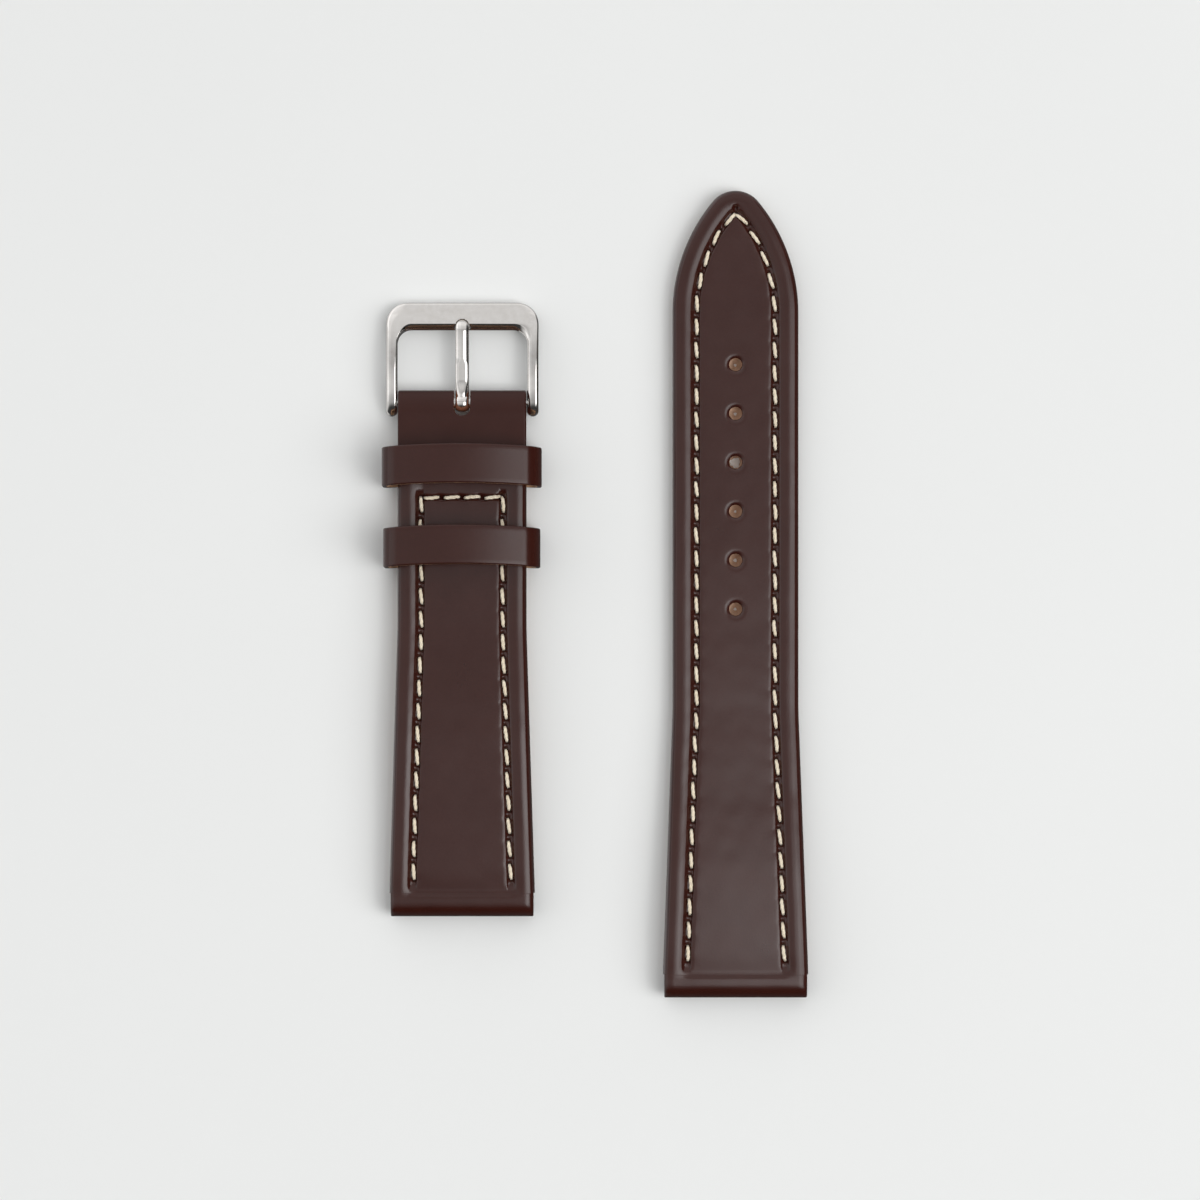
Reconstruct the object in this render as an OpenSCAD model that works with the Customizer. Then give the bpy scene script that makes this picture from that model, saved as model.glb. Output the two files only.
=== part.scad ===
// Two-piece padded leather watch strap: a buckle half and a holed half, lying side by side.
// Both halves lie lining down on the plane z = 0, with their lug ends towards -Y.

/* [Strap] */
// Width at the lug end
lug_w = 20.2; // [16:0.1:24]
// Width of the holed half past its taper
tail_w = 17.5; // [13:0.1:22]
// Length of the holed half
long_len = 112.2; // [105:0.1:130]
// Length of the buckle half, leather only
short_len = 73.1; // [71:0.1:85]
// Length of the tapering stretch of each half, from the lug end
taper_len = 40; // [30:0.5:44]
// Thickness of the padded stretch near the lug end
lug_t = 4.2; // [3.4:0.1:5]
// Thickness past the padding
tail_t = 2.6; // [2.5:0.05:3.2]
// Distance between the centre lines of the two halves
spacing = 38; // [30:0.5:50]
// How far the lug end of the buckle half lies ahead of the other
short_ahead = 11.3; // [0:0.1:16]

/* [Layers] */
// Thickness of the outer leather
upper_t = 0.8; // [0.6:0.05:0.9]
// Thickness of the lining leather
lining_t = 0.8; // [0.6:0.05:0.9]
// Thickness of the outer leather where its edge is pared and turned under
flap_t = 0.45; // [0.35:0.05:0.5]
// Thickness of the reinforcing tape
stay_t = 0.25; // [0.15:0.05:0.3]
// How far the lining stops short of the strap's edge
lining_inset = 0.85; // [0.5:0.05:1.2]
// Distance from the edge to the inner end of the turned-under flap
flap_in = 3; // [2.6:0.1:3.2]

/* [Rim and seam] */
// Distance from the edge to the crest of the raised rim
crest_in = 1.5; // [1.2:0.1:1.7]
// Height of the rim's crest over the flat centre panel
rim_h = 0.28; // [0.1:0.02:0.35]
// Depth of the stitch channel below the panel
channel_d = 0.22; // [0.1:0.02:0.25]
// Distance from the edge to the stitch line
seam_in = 3.3; // [3.1:0.1:3.4]
// Diameter of the top thread
thread_d = 0.5; // [0.3:0.05:0.55]
// Diameter of the bobbin thread under the lining
bobbin_d = 0.4; // [0.3:0.05:0.4]
// Distance from one stitch to the next
stitch_pitch = 3.24; // [2.6:0.02:4]
// Length of thread that shows in one stitch
stitch_len = 2.15; // [1.4:0.05:2.3]

/* [Lug ends] */
// Outer radius of the roll round the lug bar
roll_r = 1.6; // [1.5:0.05:1.8]
// Radius of the lug bar's bore
lug_bore_r = 0.95; // [0.7:0.05:1.1]
// Distance from the lug end to the notch where the rim begins
notch_y = 3.3; // [3.2:0.05:3.8]
// Width by which the roll is narrower than the strap
roll_inset = 0.4; // [0.2:0.05:1]

/* [Tail] */
// Radius of the rounded tip
tip_r = 4.1; // [4:0.1:5]
// Length over which the sides curve in to the tip
tip_len = 17; // [14:0.5:22]
// Radius of the adjusting holes
hole_r = 0.9; // [0.6:0.05:1.1]
// Distance from one adjusting hole to the next
hole_pitch = 6.8; // [5.5:0.1:7.2]
// Number of adjusting holes
hole_count = 6; // [4:1:7]
// Distance from the tip to the first adjusting hole
hole_start = 24.2; // [20:0.1:30]

/* [Keepers] */
// Length of each keeper along the strap
keeper_band = 5.4; // [4:0.1:6]
// How much wider than the buckle's inside the fixed keeper is inside
fixed_keeper_room = 2.1; // [1.6:0.1:3]
// How much wider than the buckle's inside the free keeper is inside
free_keeper_room = 1.7; // [1.4:0.1:3]
// Outer height of the free keeper
keeper_h = 7.6; // [7.5:0.1:8.4]
// Thickness of a keeper's outer leather
keeper_t = 0.6; // [0.4:0.05:0.65]
// Thickness of a keeper's lining
keeper_lining_t = 0.4; // [0.3:0.05:0.45]
// Outer radius of a keeper's corners
keeper_corner_r = 1.7; // [1.3:0.1:2]
// Gap between the free keeper and the underside of the strap
keeper_gap = 0.3; // [0.25:0.05:0.4]
// Distance from the lug end to the near edge of the fixed keeper
fixed_keeper_y = 59.9; // [59.4:0.1:60.2]
// Distance from the lug end to the near edge of the free keeper
free_keeper_y = 48.7; // [46:0.1:49]
// Distance from the lug end to the stitch row across the buckle half
row_y = 58.2; // [57.8:0.1:58.6]

/* [Buckle] */
// Inner width of the buckle frame
frame_in_w = 18; // [17.5:0.1:18.4]
// How much narrower than the buckle's inside the strap is past its taper
strap_play = 0.1; // [0:0.05:0.5]
// Width of each side arm
arm_w = 1.6; // [1.5:0.05:2]
// Distance from the bar's axis to the far edge of the frame
frame_len = 13.9; // [13.5:0.1:15]
// How far the arms reach behind the bar's axis
arm_behind = 1.9; // [1.5:0.1:2.2]
// Depth of the front bar
front_bar = 3.8; // [3.4:0.1:4.2]
// Width of the bevel along the inner edge of the front bar
bevel = 1; // [0.6:0.1:1.2]
// Thickness of the frame
frame_t = 1.7; // [1.5:0.05:1.9]
// Radius of the arch along the frame
arch_r = 40; // [36:1:60]
// How far the far end of the frame lies below the bar's axis
frame_drop = 1; // [0.7:0.05:1.05]
// Outer corner radius of the frame
corner_out_r = 3; // [2.5:0.1:3.5]
// Inner corner radius of the frame
corner_in_r = 2; // [1.5:0.1:2.2]
// Width of the tongue
tongue_w = 1.87; // [1.6:0.01:2]
// Thickness of the tongue
tongue_t = 1; // [0.8:0.05:1.1]
// How far the tip of the tongue stops short of the far edge of the frame
tongue_short = 2; // [1.5:0.1:2.3]
// Width of the notch in the front bar that the tongue rests in
tongue_notch_w = 2.9; // [2.6:0.1:3.4]
// Depth of that notch
tongue_notch_d = 0.35; // [0.2:0.05:0.45]
// Outer radius of the tongue's eye
eye_r = 1.3; // [1.2:0.05:1.35]

/* [Spring bar] */
// Outer radius of the tube
tube_r = 0.75; // [0.7:0.01:0.8]
// Wall of the tube
tube_wall = 0.2; // [0.15:0.01:0.22]
// Radius of the tips
tip_pin_r = 0.38; // [0.3:0.01:0.4]
// How far a tip reaches into the frame
tip_reach = 1.1; // [0.8:0.05:1.2]
// Thickness of leather wrapped round the tube
fold_wrap_t = 0.9; // [0.85:0.05:1]
// Width of the slot for the tongue
slot_w = 2.3; // [2.15:0.05:2.6]
// Running clearance of a turning or sliding fit, on the radius
fit = 0.05; // [0.02:0.01:0.08]

/* [Hidden] */
$fn = 48;

// One overrun for every cut
over = 1;
leather = [0.26, 0.19, 0.18];
leather_dark = [0.2, 0.14, 0.13];
lining_tan = [0.55, 0.42, 0.32];
filler_tone = [0.5, 0.4, 0.32];
stay_tone = [0.8, 0.78, 0.72];
thread_tone = [0.87, 0.82, 0.72];
steel = [0.79, 0.78, 0.77];

// Width of the buckle half past its taper, outer widths of the keepers, and the distance from the bar's axis to the tip of the tongue
buckle_half_w = frame_in_w - strap_play;
keeper_walls = 2 * (keeper_t + keeper_lining_t);
fixed_keeper_w = frame_in_w + fixed_keeper_room + keeper_walls;
free_keeper_w = frame_in_w + free_keeper_room + keeper_walls;
tongue_len = frame_len - tongue_short;

// Places of the two halves: the outer edges lie at equal distances from x = 0
short_x = -(spacing - (fixed_keeper_w - lug_w) / 2) / 2;
long_x = short_x + spacing;
long_y = -long_len / 2;
short_y = long_y + short_ahead;

// Length by which the turned ends lap into the padded body
end_lap = 1;
// How far the panel and the stitch channel's floor lie below the rim's crest
panel_up = rim_h;
floor_up = rim_h + channel_d;
channel_half = thread_d / 2 + fit;
channel_slope = channel_d;
// The bobbin's channel in the lining, with room for straight stitches round the tip
bobbin_half = bobbin_d / 2 + 3 * fit;
bobbin_gap = fit / 4;
bobbin_channel = bobbin_d + 2 * bobbin_gap;
// Thickness of the outer leather at the strap's side
side_t = 0.7;
// Height by which the filler's shoulder slopes down to its side
filler_rise = 0.3;
// Broken edge of the lining
lining_edge = 0.15;

// Share of the padding's height at shares of the taper's length
padding_shares = [[0, 0.7], [0.08, 0.76], [0.15, 0.94], [0.24, 1], [0.45, 0.84], [0.72, 0.38],
    [1, 0.1], [1.3, 0]];
// Share of the underside's lift at shares of the taper's length
lift_shares = [[0.3, 0], [0.45, 0.35], [0.62, 0.85], [0.74, 1]];
lift = keeper_t + keeper_lining_t + keeper_gap;

function scaled(shares, along, up) = [for (p = shares) [p[0] * along, p[1] * up]];
padding = scaled(padding_shares, taper_len, lug_t - tail_t);
lifting = scaled(lift_shares, taper_len, lift);
function thick(y) = tail_t + lookup(y, padding);
// Height of the underside along each half
long_base = function (y) 0;
short_base = function (y) lookup(y, lifting);

// Outline of one side: x, y and the outward direction at each station
function half_w(y, end_w) = lookup(y, [[notch_y, lug_w / 2], [taper_len, end_w / 2]]);
function side(ys, end_w) = [for (y = ys) [half_w(y, end_w), y, 1, 0]];
function sorted(list) = len(list) < 2 ? list : let (p = list[0]) concat(
    sorted([for (v = list) if (v < p) v]), [p], sorted([for (v = list) if (v > p) v]));
// Places along a half where its profile bends, between a first and a last
function bends(tables, first, last) = sorted(concat([first, last],
    [for (t = tables) for (p = t) if (p[0] > first + fit && p[0] < last - fit) p[0]]));

// The tip: a long shoulder arc on each side, tangent to the strap's side and to the tip's arc
tip_half = tail_w / 2;
tip_rise = tip_len - tip_r;
shoulder_r = (tip_half * tip_half + tip_rise * tip_rise - tip_r * tip_r) / (2 * (tip_half - tip_r));
shoulder_y = long_len - tip_len;
tangent_a = asin(tip_rise / (shoulder_r - tip_r));
shoulder_steps = 9;
apex_steps = 4;
tip_side = concat(
    [for (i = [0:shoulder_steps]) let (a = tangent_a * i / shoulder_steps)
        [tip_half - shoulder_r + shoulder_r * cos(a), shoulder_y + shoulder_r * sin(a), cos(a), sin(a)]],
    [for (i = [1:apex_steps]) let (a = tangent_a + (90 - tangent_a) * i / apex_steps)
        [i == apex_steps ? 0 : tip_r * cos(a), long_len - tip_r + tip_r * sin(a),
            i == apex_steps ? 0 : cos(a), sin(a)]]);
function long_stations(first) = concat(
    [for (s = side(bends([padding], first, shoulder_y), tail_w)) if (s[1] < shoulder_y) s], tip_side);

// Buckle end of the short half: the padded body stops under the fixed keeper
body_end_share = 0.57;
body_end = fixed_keeper_y + keeper_band * body_end_share;
function short_stations(first, last) = side(bends([padding, lifting], first, last), buckle_half_w);

// Sections: each ring is its distance from the edge, its share of the thickness, and a rise
function under_rim(a) = [lining_inset * (1 - cos(a)), (1 - sin(a)) / 2, lining_t * sin(a)];
function over_rim(a) = [crest_in * (1 - cos(a)), (1 + sin(a)) / 2, 0];
function rim_fall(s) = [crest_in + (seam_in - channel_half - crest_in) * s, 1,
    -floor_up * (1 - cos(180 * s)) / 2];
under_angles = [90, 50];
over_angles = [0, 30, 60, 90];
fall_shares = [0.35, 0.65, 1];
rim_rings = concat(
    [[flap_in, 0, lining_t]],
    [for (a = under_angles) under_rim(a)],
    [for (a = over_angles) over_rim(a)],
    [for (s = fall_shares) rim_fall(s)],
    [[seam_in + channel_half, 1, -floor_up], [seam_in + channel_half + channel_slope, 1, -panel_up]]);
inner_rings = [
    [seam_in + channel_half + channel_slope, 1, -panel_up - upper_t],
    [crest_in + filler_rise, 1, -upper_t],
    [side_t, 1, -upper_t - filler_rise],
    [side_t, 0, lining_t + flap_t],
    [flap_in, 0, lining_t + flap_t]];
upper_rings = concat(rim_rings, inner_rings);
filler_rings = [
    [flap_in, 0, lining_t + stay_t],
    [flap_in, 0, lining_t + flap_t],
    [side_t, 0, lining_t + flap_t],
    [side_t, 1, -upper_t - filler_rise],
    [crest_in + filler_rise, 1, -upper_t],
    [seam_in + channel_half + channel_slope, 1, -panel_up - upper_t]];
stay_rings = [[flap_in, 0, lining_t], [flap_in, 0, lining_t + stay_t]];
lining_rings = [
    [seam_in + bobbin_half, 0, 0],
    [seam_in + bobbin_half, 0, bobbin_channel],
    [seam_in - bobbin_half, 0, bobbin_channel],
    [seam_in - bobbin_half, 0, 0],
    [lining_inset + lining_edge, 0, 0],
    [lining_inset, 0, lining_edge],
    [lining_inset, 0, lining_t],
    [seam_in + bobbin_half, 0, lining_t]];

// How an end section is filled: triangles of ring numbers on one side, and the pairs of rings
// that bound its middle. In the shell, each outside ring faces one of the inside rings.
function facing(k) = k < 1 ? 16 : k < 3 ? 15 : k < 6 ? 14 : k < 9 ? 13 : 12;
upper_fill = [for (k = [0:len(rim_rings) - 2])
    for (f = concat([[k, k + 1, facing(k)]],
        facing(k) == facing(k + 1) ? [] : [[k + 1, facing(k + 1), facing(k)]])) f];
upper_middle = [[12, 11]];
filler_fill = [[0, 1, 5], [1, 4, 5], [1, 3, 4], [1, 2, 3]];
filler_middle = [[0, 5]];
stay_middle = [[0, 1]];
lining_fill = [[1, 2, 7], [2, 6, 7], [2, 3, 6], [3, 5, 6], [3, 4, 5]];
lining_middle = [[0, 1], [1, 7]];

// A layer lofted through its rings, mirrored about x = 0. With a tip, the two sides meet at the
// last station. With a split, rings 0 to split are the outside and the rest the inside of a shell.
module layer(sides, tip, rings, split, fill, middle, base) {
    n = len(sides) - 1;
    m = len(rings) - 1;
    top = split < 0 ? m : split;
    points = [for (r = rings) for (s = sides) for (hand = [1, -1])
        let (x = s[0] - r[0] * s[2], y = s[1] - r[0] * s[3])
        [hand * x, y, base(y) + r[1] * thick(y) + r[2]]];
    function at(k, i, hand) = 2 * (k * (n + 1) + i) + ((hand > 0 || (tip && i == n)) ? 0 : 1);
    function two(a, b, c, d) = [[a, b, c], [a, c, d]];
    function wall(k, l) = [for (i = [0:n - 1])
        for (f = concat(
            two(at(k, i, 1), at(l, i, 1), at(l, i + 1, 1), at(k, i + 1, 1)),
            two(at(k, i, -1), at(k, i + 1, -1), at(l, i + 1, -1), at(l, i, -1)))) f];
    function strip(k, i) = (tip && i == n - 1)
        ? [[at(k, i, 1), at(k, i, -1), at(k, n, 1)]]
        : two(at(k, i, 1), at(k, i, -1), at(k, i + 1, -1), at(k, i + 1, 1));
    function cap(k) = [for (i = [0:n - 1]) for (f = strip(k, i)) f];
    function flip(faces) = [for (f = faces) [f[2], f[1], f[0]]];
    function section(i) = concat(
        [for (f = fill) [at(f[0], i, 1), at(f[1], i, 1), at(f[2], i, 1)]],
        [for (f = fill) [at(f[2], i, -1), at(f[1], i, -1), at(f[0], i, -1)]],
        [for (p = middle)
            for (f = two(at(p[0], i, 1), at(p[1], i, 1), at(p[1], i, -1), at(p[0], i, -1))) f]);
    walls = [for (k = [0:m - 1]) if (k != top) for (f = wall(k, k + 1)) f];
    faces = concat(
        walls,
        split < 0 ? [] : wall(m, 0),
        cap(top),
        flip(cap(split < 0 ? 0 : top + 1)),
        flip(section(0)),
        tip ? [] : section(n));
    polyhedron(points, faces, convexity = 8);
}

module along_x(width) rotate([90, 0, 90]) linear_extrude(height = width, center = true) children();
module rod_x(r, from, to) translate([from, 0, 0]) rotate([0, 90, 0]) cylinder(r = r, h = to - from);

// The point where a line from p touches a circle
function touch(p, c, r, turn) = let (v = p - c, a = atan2(v[1], v[0]), b = acos(r / norm(v)))
    c + r * [cos(a + turn * b), sin(a + turn * b)];

// Leather drawn from the flat round a roll: c is the roll's centre in y and z
module turned_end(c, r, width, high, low, turn) {
    along_x(width) polygon([high, touch(high, c, r, turn), c, touch(low, c, r, -turn), low]);
    translate([0, c[0], c[1]]) rod_x(r, -width / 2, width / 2);
}

// A block inside the leather that joins a turned end to the padded body
module joining_block(w, from, to, base, t)
    translate([-w / 2, from, base + lining_t])
        cube([w, to - from, t - panel_up - upper_t / 2 - lining_t]);

roll_c = [roll_r, roll_r + fit];
roll_w = lug_w - roll_inset;
module lug_end() {
    up = thick(notch_y);
    turned_end(roll_c, roll_r, roll_w, [notch_y, up - floor_up], [notch_y, lining_t], 1);
    joining_block(lug_w - flap_in, notch_y - end_lap / 2, notch_y + end_lap, 0, up);
}
module lug_bore() translate([0, roll_c[0], roll_c[1]]) rod_x(lug_bore_r, -lug_w, lug_w);

// Height of a cut that goes right through either half
cut_h = lug_t + lift + 2 * over;
module holes() for (i = [0:hole_count - 1])
    translate([0, long_len - hole_start - i * hole_pitch, -over]) cylinder(r = hole_r, h = cut_h);

module on_long() translate([long_x, long_y, 0]) children();
module on_short() translate([short_x, short_y, 0]) children();

// Buckle end: bar axis, fold and slot
fold_bore_r = tube_r + fit;
fold_r = fold_bore_r + fold_wrap_t;
bar_y = short_len - fold_r;
bar_z = lift + tail_t - panel_up - fold_r + fit;
fold_w = frame_in_w - 4 * fit;
fold_flat_end = fixed_keeper_y + keeper_band + fold_wrap_t / 2;
// The slot's round end clears the square back of the tongue's eye
slot_round = slot_w / 2 - sqrt(slot_w * slot_w - tongue_w * tongue_w) / 2;
slot_end = bar_y - eye_r - fit - slot_round;
module fold() {
    high = lift + tail_t - panel_up;
    c = [bar_y, bar_z];
    turned_end(c, fold_r, fold_w, [fold_flat_end, high], [fold_flat_end, lift], -1);
    translate([-fold_w / 2, body_end, lift]) cube([fold_w, fold_flat_end - body_end, high - lift]);
    joining_block(buckle_half_w - flap_in, body_end - end_lap, body_end + end_lap / 2, lift, tail_t);
}
module slot() translate([-slot_w / 2, slot_end + slot_w / 2, -over]) {
    cube([slot_w, short_len, cut_h]);
    translate([slot_w / 2, 0, 0]) cylinder(r = slot_w / 2, h = cut_h);
}

// Seams: a path along the right side at the stitch line, then stitches at a steady pitch
function seam_point(s, base, up) = let (x = s[0] - seam_in * s[2], y = s[1] - seam_in * s[3])
    [x, y, base(y) + up(y)];
// Height of each thread's centre over the underside
top_place = function (y) thick(y) - floor_up + thread_d / 2;
bobbin_place = function (y) bobbin_d / 2 + bobbin_gap;
function lengths(path) = [for (i = 0, sum = 0; i < len(path);
    sum = sum + (i < len(path) - 1 ? norm(path[i + 1] - path[i]) : 0), i = i + 1) sum];
function walk(path, sums, s, i = 0) = (i >= len(path) - 2 || sums[i + 1] >= s)
    ? path[i] + (path[i + 1] - path[i]) * (s - sums[i]) / (sums[i + 1] - sums[i])
    : walk(path, sums, s, i + 1);
// The pitch is eased a little so that the last stitch ends where the seam does
function stitch_row(path, first, last) = let (sums = lengths(path),
    run = sums[len(sums) - 1] - first - last - stitch_len,
    count = round(run / stitch_pitch))
    [for (i = [0:count]) let (s = first + i * run / count)
        [walk(path, sums, s), walk(path, sums, s + stitch_len)]];
function both_sides(list) = concat(list, [for (s = list) [for (p = s) [-p[0], p[1], p[2]]]]);

// Every stitch of a seam in one mesh: a six-sided rod with drawn-in ends
stitch_sides = 6;
// Each ring: which end it is at, how far in, and how wide, both as shares of the radius
stitch_ring_shares = [[0, 0, 0.55], [0, 0.6, 1], [1, -0.6, 1], [1, 0, 0.55]];
module stitches(list, r) {
    rings = len(stitch_ring_shares);
    points = [for (s = list) let (v = (s[1] - s[0]) / norm(s[1] - s[0]),
            u = cross(v, [0, 0, 1]) / norm(cross(v, [0, 0, 1])), w = cross(u, v))
        for (g = stitch_ring_shares) for (j = [0:stitch_sides - 1]) let (a = 360 * j / stitch_sides)
        s[g[0]] + v * g[1] * r + (u * cos(a) + w * sin(a)) * r * g[2]];
    function two(a, b, c, d) = [[a, b, c], [a, c, d]];
    faces = [for (i = [0:len(list) - 1]) let (o = i * rings * stitch_sides) for (f = concat(
        [for (k = [0:rings - 2], j = [0:stitch_sides - 1])
            let (l = (j + 1) % stitch_sides, p = o + k * stitch_sides, q = p + stitch_sides)
            for (t = two(p + j, p + l, q + l, q + j)) t],
        [for (j = [1:stitch_sides - 2]) [o, o + j + 1, o + j]],
        [for (j = [1:stitch_sides - 2])
            let (e = o + (rings - 1) * stitch_sides) [e, e + j, e + j + 1]])) f];
    polyhedron(points, faces, convexity = 10);
}
// Distance from the tip's apex or the row to the first stitch of a side seam
long_seam_start = (stitch_pitch - stitch_len) / 3;
short_seam_start = stitch_pitch - stitch_len;
// Distance from the notch to the end of a side seam
seam_stop = 1.9;
function reversed(list) = [for (i = [len(list) - 1:-1:0]) list[i]];
module long_seam(up, r) {
    path = reversed([for (s = long_stations(notch_y)) seam_point(s, long_base, up)]);
    stitches(both_sides(stitch_row(path, long_seam_start, seam_stop)), r);
}
// The row across the buckle half: half a stitch as a share of the row's pitch
row_stitch_count = 4;
row_share = 0.38;
row_half = buckle_half_w / 2 - seam_in;
row_reach = 2 * row_half + 2 * channel_half;
module short_seam(up, r) {
    path = reversed([for (s = short_stations(notch_y, row_y)) seam_point(s, short_base, up)]);
    z = short_base(row_y) + up(row_y);
    run = 2 * row_half / row_stitch_count;
    across = [for (i = [0:row_stitch_count - 1]) let (x = -row_half + (i + 0.5) * run)
        [[x - run * row_share, row_y, z], [x + run * row_share, row_y, z]]];
    stitches(concat(both_sides(stitch_row(path, short_seam_start, seam_stop)), across), r);
}

// Keepers: a band of one layer, given by the outer size and the layer's depth in the wall
module band(w, h, r, bottom) translate([0, bottom + h / 2]) {
    square([w, h - 2 * r], center = true);
    square([w - 2 * r, h], center = true);
    for (x = [-1, 1], z = [-1, 1]) translate([x * (w / 2 - r), z * (h / 2 - r)]) circle(r = r);
}
module keeper_ring(w, h, bottom, depth, wall, y) translate([0, y + keeper_band, 0]) rotate([90, 0, 0])
    linear_extrude(height = keeper_band) difference() {
        band(w - 2 * depth, h - 2 * depth, keeper_corner_r - depth, bottom + depth);
        band(w - 2 * depth - 2 * wall, h - 2 * depth - 2 * wall, keeper_corner_r - depth - wall,
            bottom + depth + wall);
    }
fixed_keeper_h = keeper_h - keeper_gap;

// Buckle frame: a plan outline within an arched band, both about the bar's axis
chord = norm([frame_len, frame_drop]);
droop = atan2(frame_drop, frame_len);
arch_side_count = 180;
arch_dist = sqrt(arch_r * arch_r - chord * chord / 4);
arch_c = [frame_len / 2 - arch_dist * sin(droop), -frame_drop / 2 - arch_dist * cos(droop)];
function arch_top(y) = arch_c[1] + sqrt(pow(arch_r + frame_t / 2, 2) - pow(y - arch_c[0], 2));
frame_w = frame_in_w + 2 * arm_w;
module arched(width, c, r, t) along_x(width) translate(c) difference() {
    circle(r = r + t / 2, $fn = arch_side_count);
    circle(r = r - t / 2, $fn = arch_side_count);
}
module plan(w, near, far, r_near, r_far) {
    translate([-w / 2, near + r_near]) square([w, far - r_far - near - r_near]);
    translate([-w / 2 + r_far, far - 2 * r_far]) square([w - 2 * r_far, 2 * r_far]);
    for (x = [-1, 1]) translate([x * (w / 2 - r_far), far - r_far]) circle(r = r_far);
}
module frame_plan() {
    difference() {
        plan(frame_w, -arm_behind, frame_len, arm_w / 2, corner_out_r);
        plan(frame_in_w, -arm_behind - over, frame_len - front_bar, 0, corner_in_r);
    }
    for (x = [-1, 1])
        translate([x * (frame_in_w + arm_w) / 2, -arm_behind + arm_w / 2]) circle(r = arm_w / 2);
}

// Tongue: an arched bar from the bar's axis to the notch, with a rounded tip
tongue_r = 60;
tongue_corner = tongue_w / 3;
notch_reach = tongue_len + 2 * fit;
notch_floor = arch_top(notch_reach) - tongue_notch_d / 2;
tongue_rise = notch_floor + fit + tongue_t / 2;
tongue_chord = norm([tongue_len, tongue_rise]);
tongue_tilt = atan2(tongue_rise, tongue_len);
tongue_dist = sqrt(tongue_r * tongue_r - tongue_chord * tongue_chord / 4);
tongue_c = [tongue_len / 2 + tongue_dist * sin(tongue_tilt),
    tongue_rise / 2 - tongue_dist * cos(tongue_tilt)];
module at_bar() on_short() translate([0, bar_y, bar_z]) children();

// A plan outline drawn up well past both faces of the frame or the tongue
module tall() linear_extrude(height = cut_h, center = true) children();
bevel_w = frame_in_w - corner_in_r;

module buckle_frame() color(steel) at_bar() difference() {
    intersection() {
        tall() frame_plan();
        arched(frame_w + 2 * over, arch_c, arch_r, frame_t);
    }
    translate([0, frame_len - front_bar, arch_top(frame_len - front_bar) - bevel]) rotate([45, 0, 0])
        translate([-bevel_w / 2, 0, 0]) cube([bevel_w, 2 * bevel, 2 * bevel]);
    translate([-tongue_notch_w / 2, 0, notch_floor]) cube([tongue_notch_w, notch_reach, lug_t]);
    for (hand = [0, 1]) mirror([hand, 0, 0])
        rod_x(tip_pin_r + fit, frame_in_w / 2 - over, frame_in_w / 2 + tip_reach + fit);
}

module buckle_tongue() color(steel) at_bar() difference() {
    union() {
        intersection() {
            tall() {
                translate([-tongue_w / 2, 0]) square([tongue_w, tongue_len - tongue_corner]);
                intersection() {
                    translate([0, tongue_len - tongue_w]) circle(r = tongue_w);
                    translate([-tongue_w / 2, 0]) square([tongue_w, tongue_len]);
                }
            }
            arched(tongue_w + 2 * over, tongue_c, tongue_r, tongue_t);
        }
        rod_x(eye_r, -tongue_w / 2, tongue_w / 2);
    }
    rod_x(tube_r + fit, -tongue_w, tongue_w);
}

// Spring bar: a tube with crimped ends, a spring, and two tips with shoulders
tube_half = fold_w / 2 - fit;
tube_bore_r = tube_r - tube_wall;
// Length of the tube's crimped end, and of the shoulder it holds in
crimp = 0.5;
shoulder = 0.9;
shoulder_out = tube_half - crimp - fit;
shoulder_in = shoulder_out - shoulder;
module spring_bar_tube() color(steel) at_bar() difference() {
    rod_x(tube_r, -tube_half, tube_half);
    rod_x(tube_bore_r, -tube_half + crimp, tube_half - crimp);
    rod_x(tip_pin_r + fit, -tube_half - over, tube_half + over);
}
module bar_tip() {
    rod_x(tip_pin_r, shoulder_in, frame_in_w / 2 + tip_reach - fit);
    rod_x(tube_bore_r - fit, shoulder_in, shoulder_out);
}
module spring_bar_tip_right() color(steel) at_bar() bar_tip();
module spring_bar_tip_left() color(steel) at_bar() mirror([1, 0, 0]) bar_tip();

// Coil spring in the tube: one wire swept along a helix
spring_turn_count = 14;
ring_steps = 10;
wire_sides = 5;
wire_r = 0.09;
spring_r = tube_bore_r - fit - wire_r;
spring_half = shoulder_in - fit - wire_r;
function helix(i) = let (a = 360 * i / ring_steps, s = i / (spring_turn_count * ring_steps))
    [-spring_half + 2 * spring_half * s, spring_r * cos(a), spring_r * sin(a), a];
module spring_bar_spring() color(steel) at_bar() {
    last = spring_turn_count * ring_steps;
    points = [for (i = [0:last]) let (h = helix(i)) for (j = [0:wire_sides - 1])
        let (b = 360 * j / wire_sides, u = wire_r * cos(b), v = wire_r * sin(b))
        [h[0] + v, h[1] + u * cos(h[3]), h[2] + u * sin(h[3])]];
    tube = [for (i = [0:last - 1], j = [0:wire_sides - 1])
        let (k = (j + 1) % wire_sides, p = i * wire_sides)
        for (f = [[p + j, p + k, p + wire_sides + j], [p + k, p + wire_sides + k, p + wire_sides + j]]) f];
    ends = [[for (j = [wire_sides - 1:-1:0]) j], [for (j = [0:wire_sides - 1]) last * wire_sides + j]];
    polyhedron(points, concat(tube, ends), convexity = 10);
}

module short_layer(rings, split, fill, middle, first, last)
    layer(short_stations(first, last), false, rings, split, fill, middle, short_base);
module long_layer(rings, split, fill, middle, first)
    layer(long_stations(first), true, rings, split, fill, middle, long_base);

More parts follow.
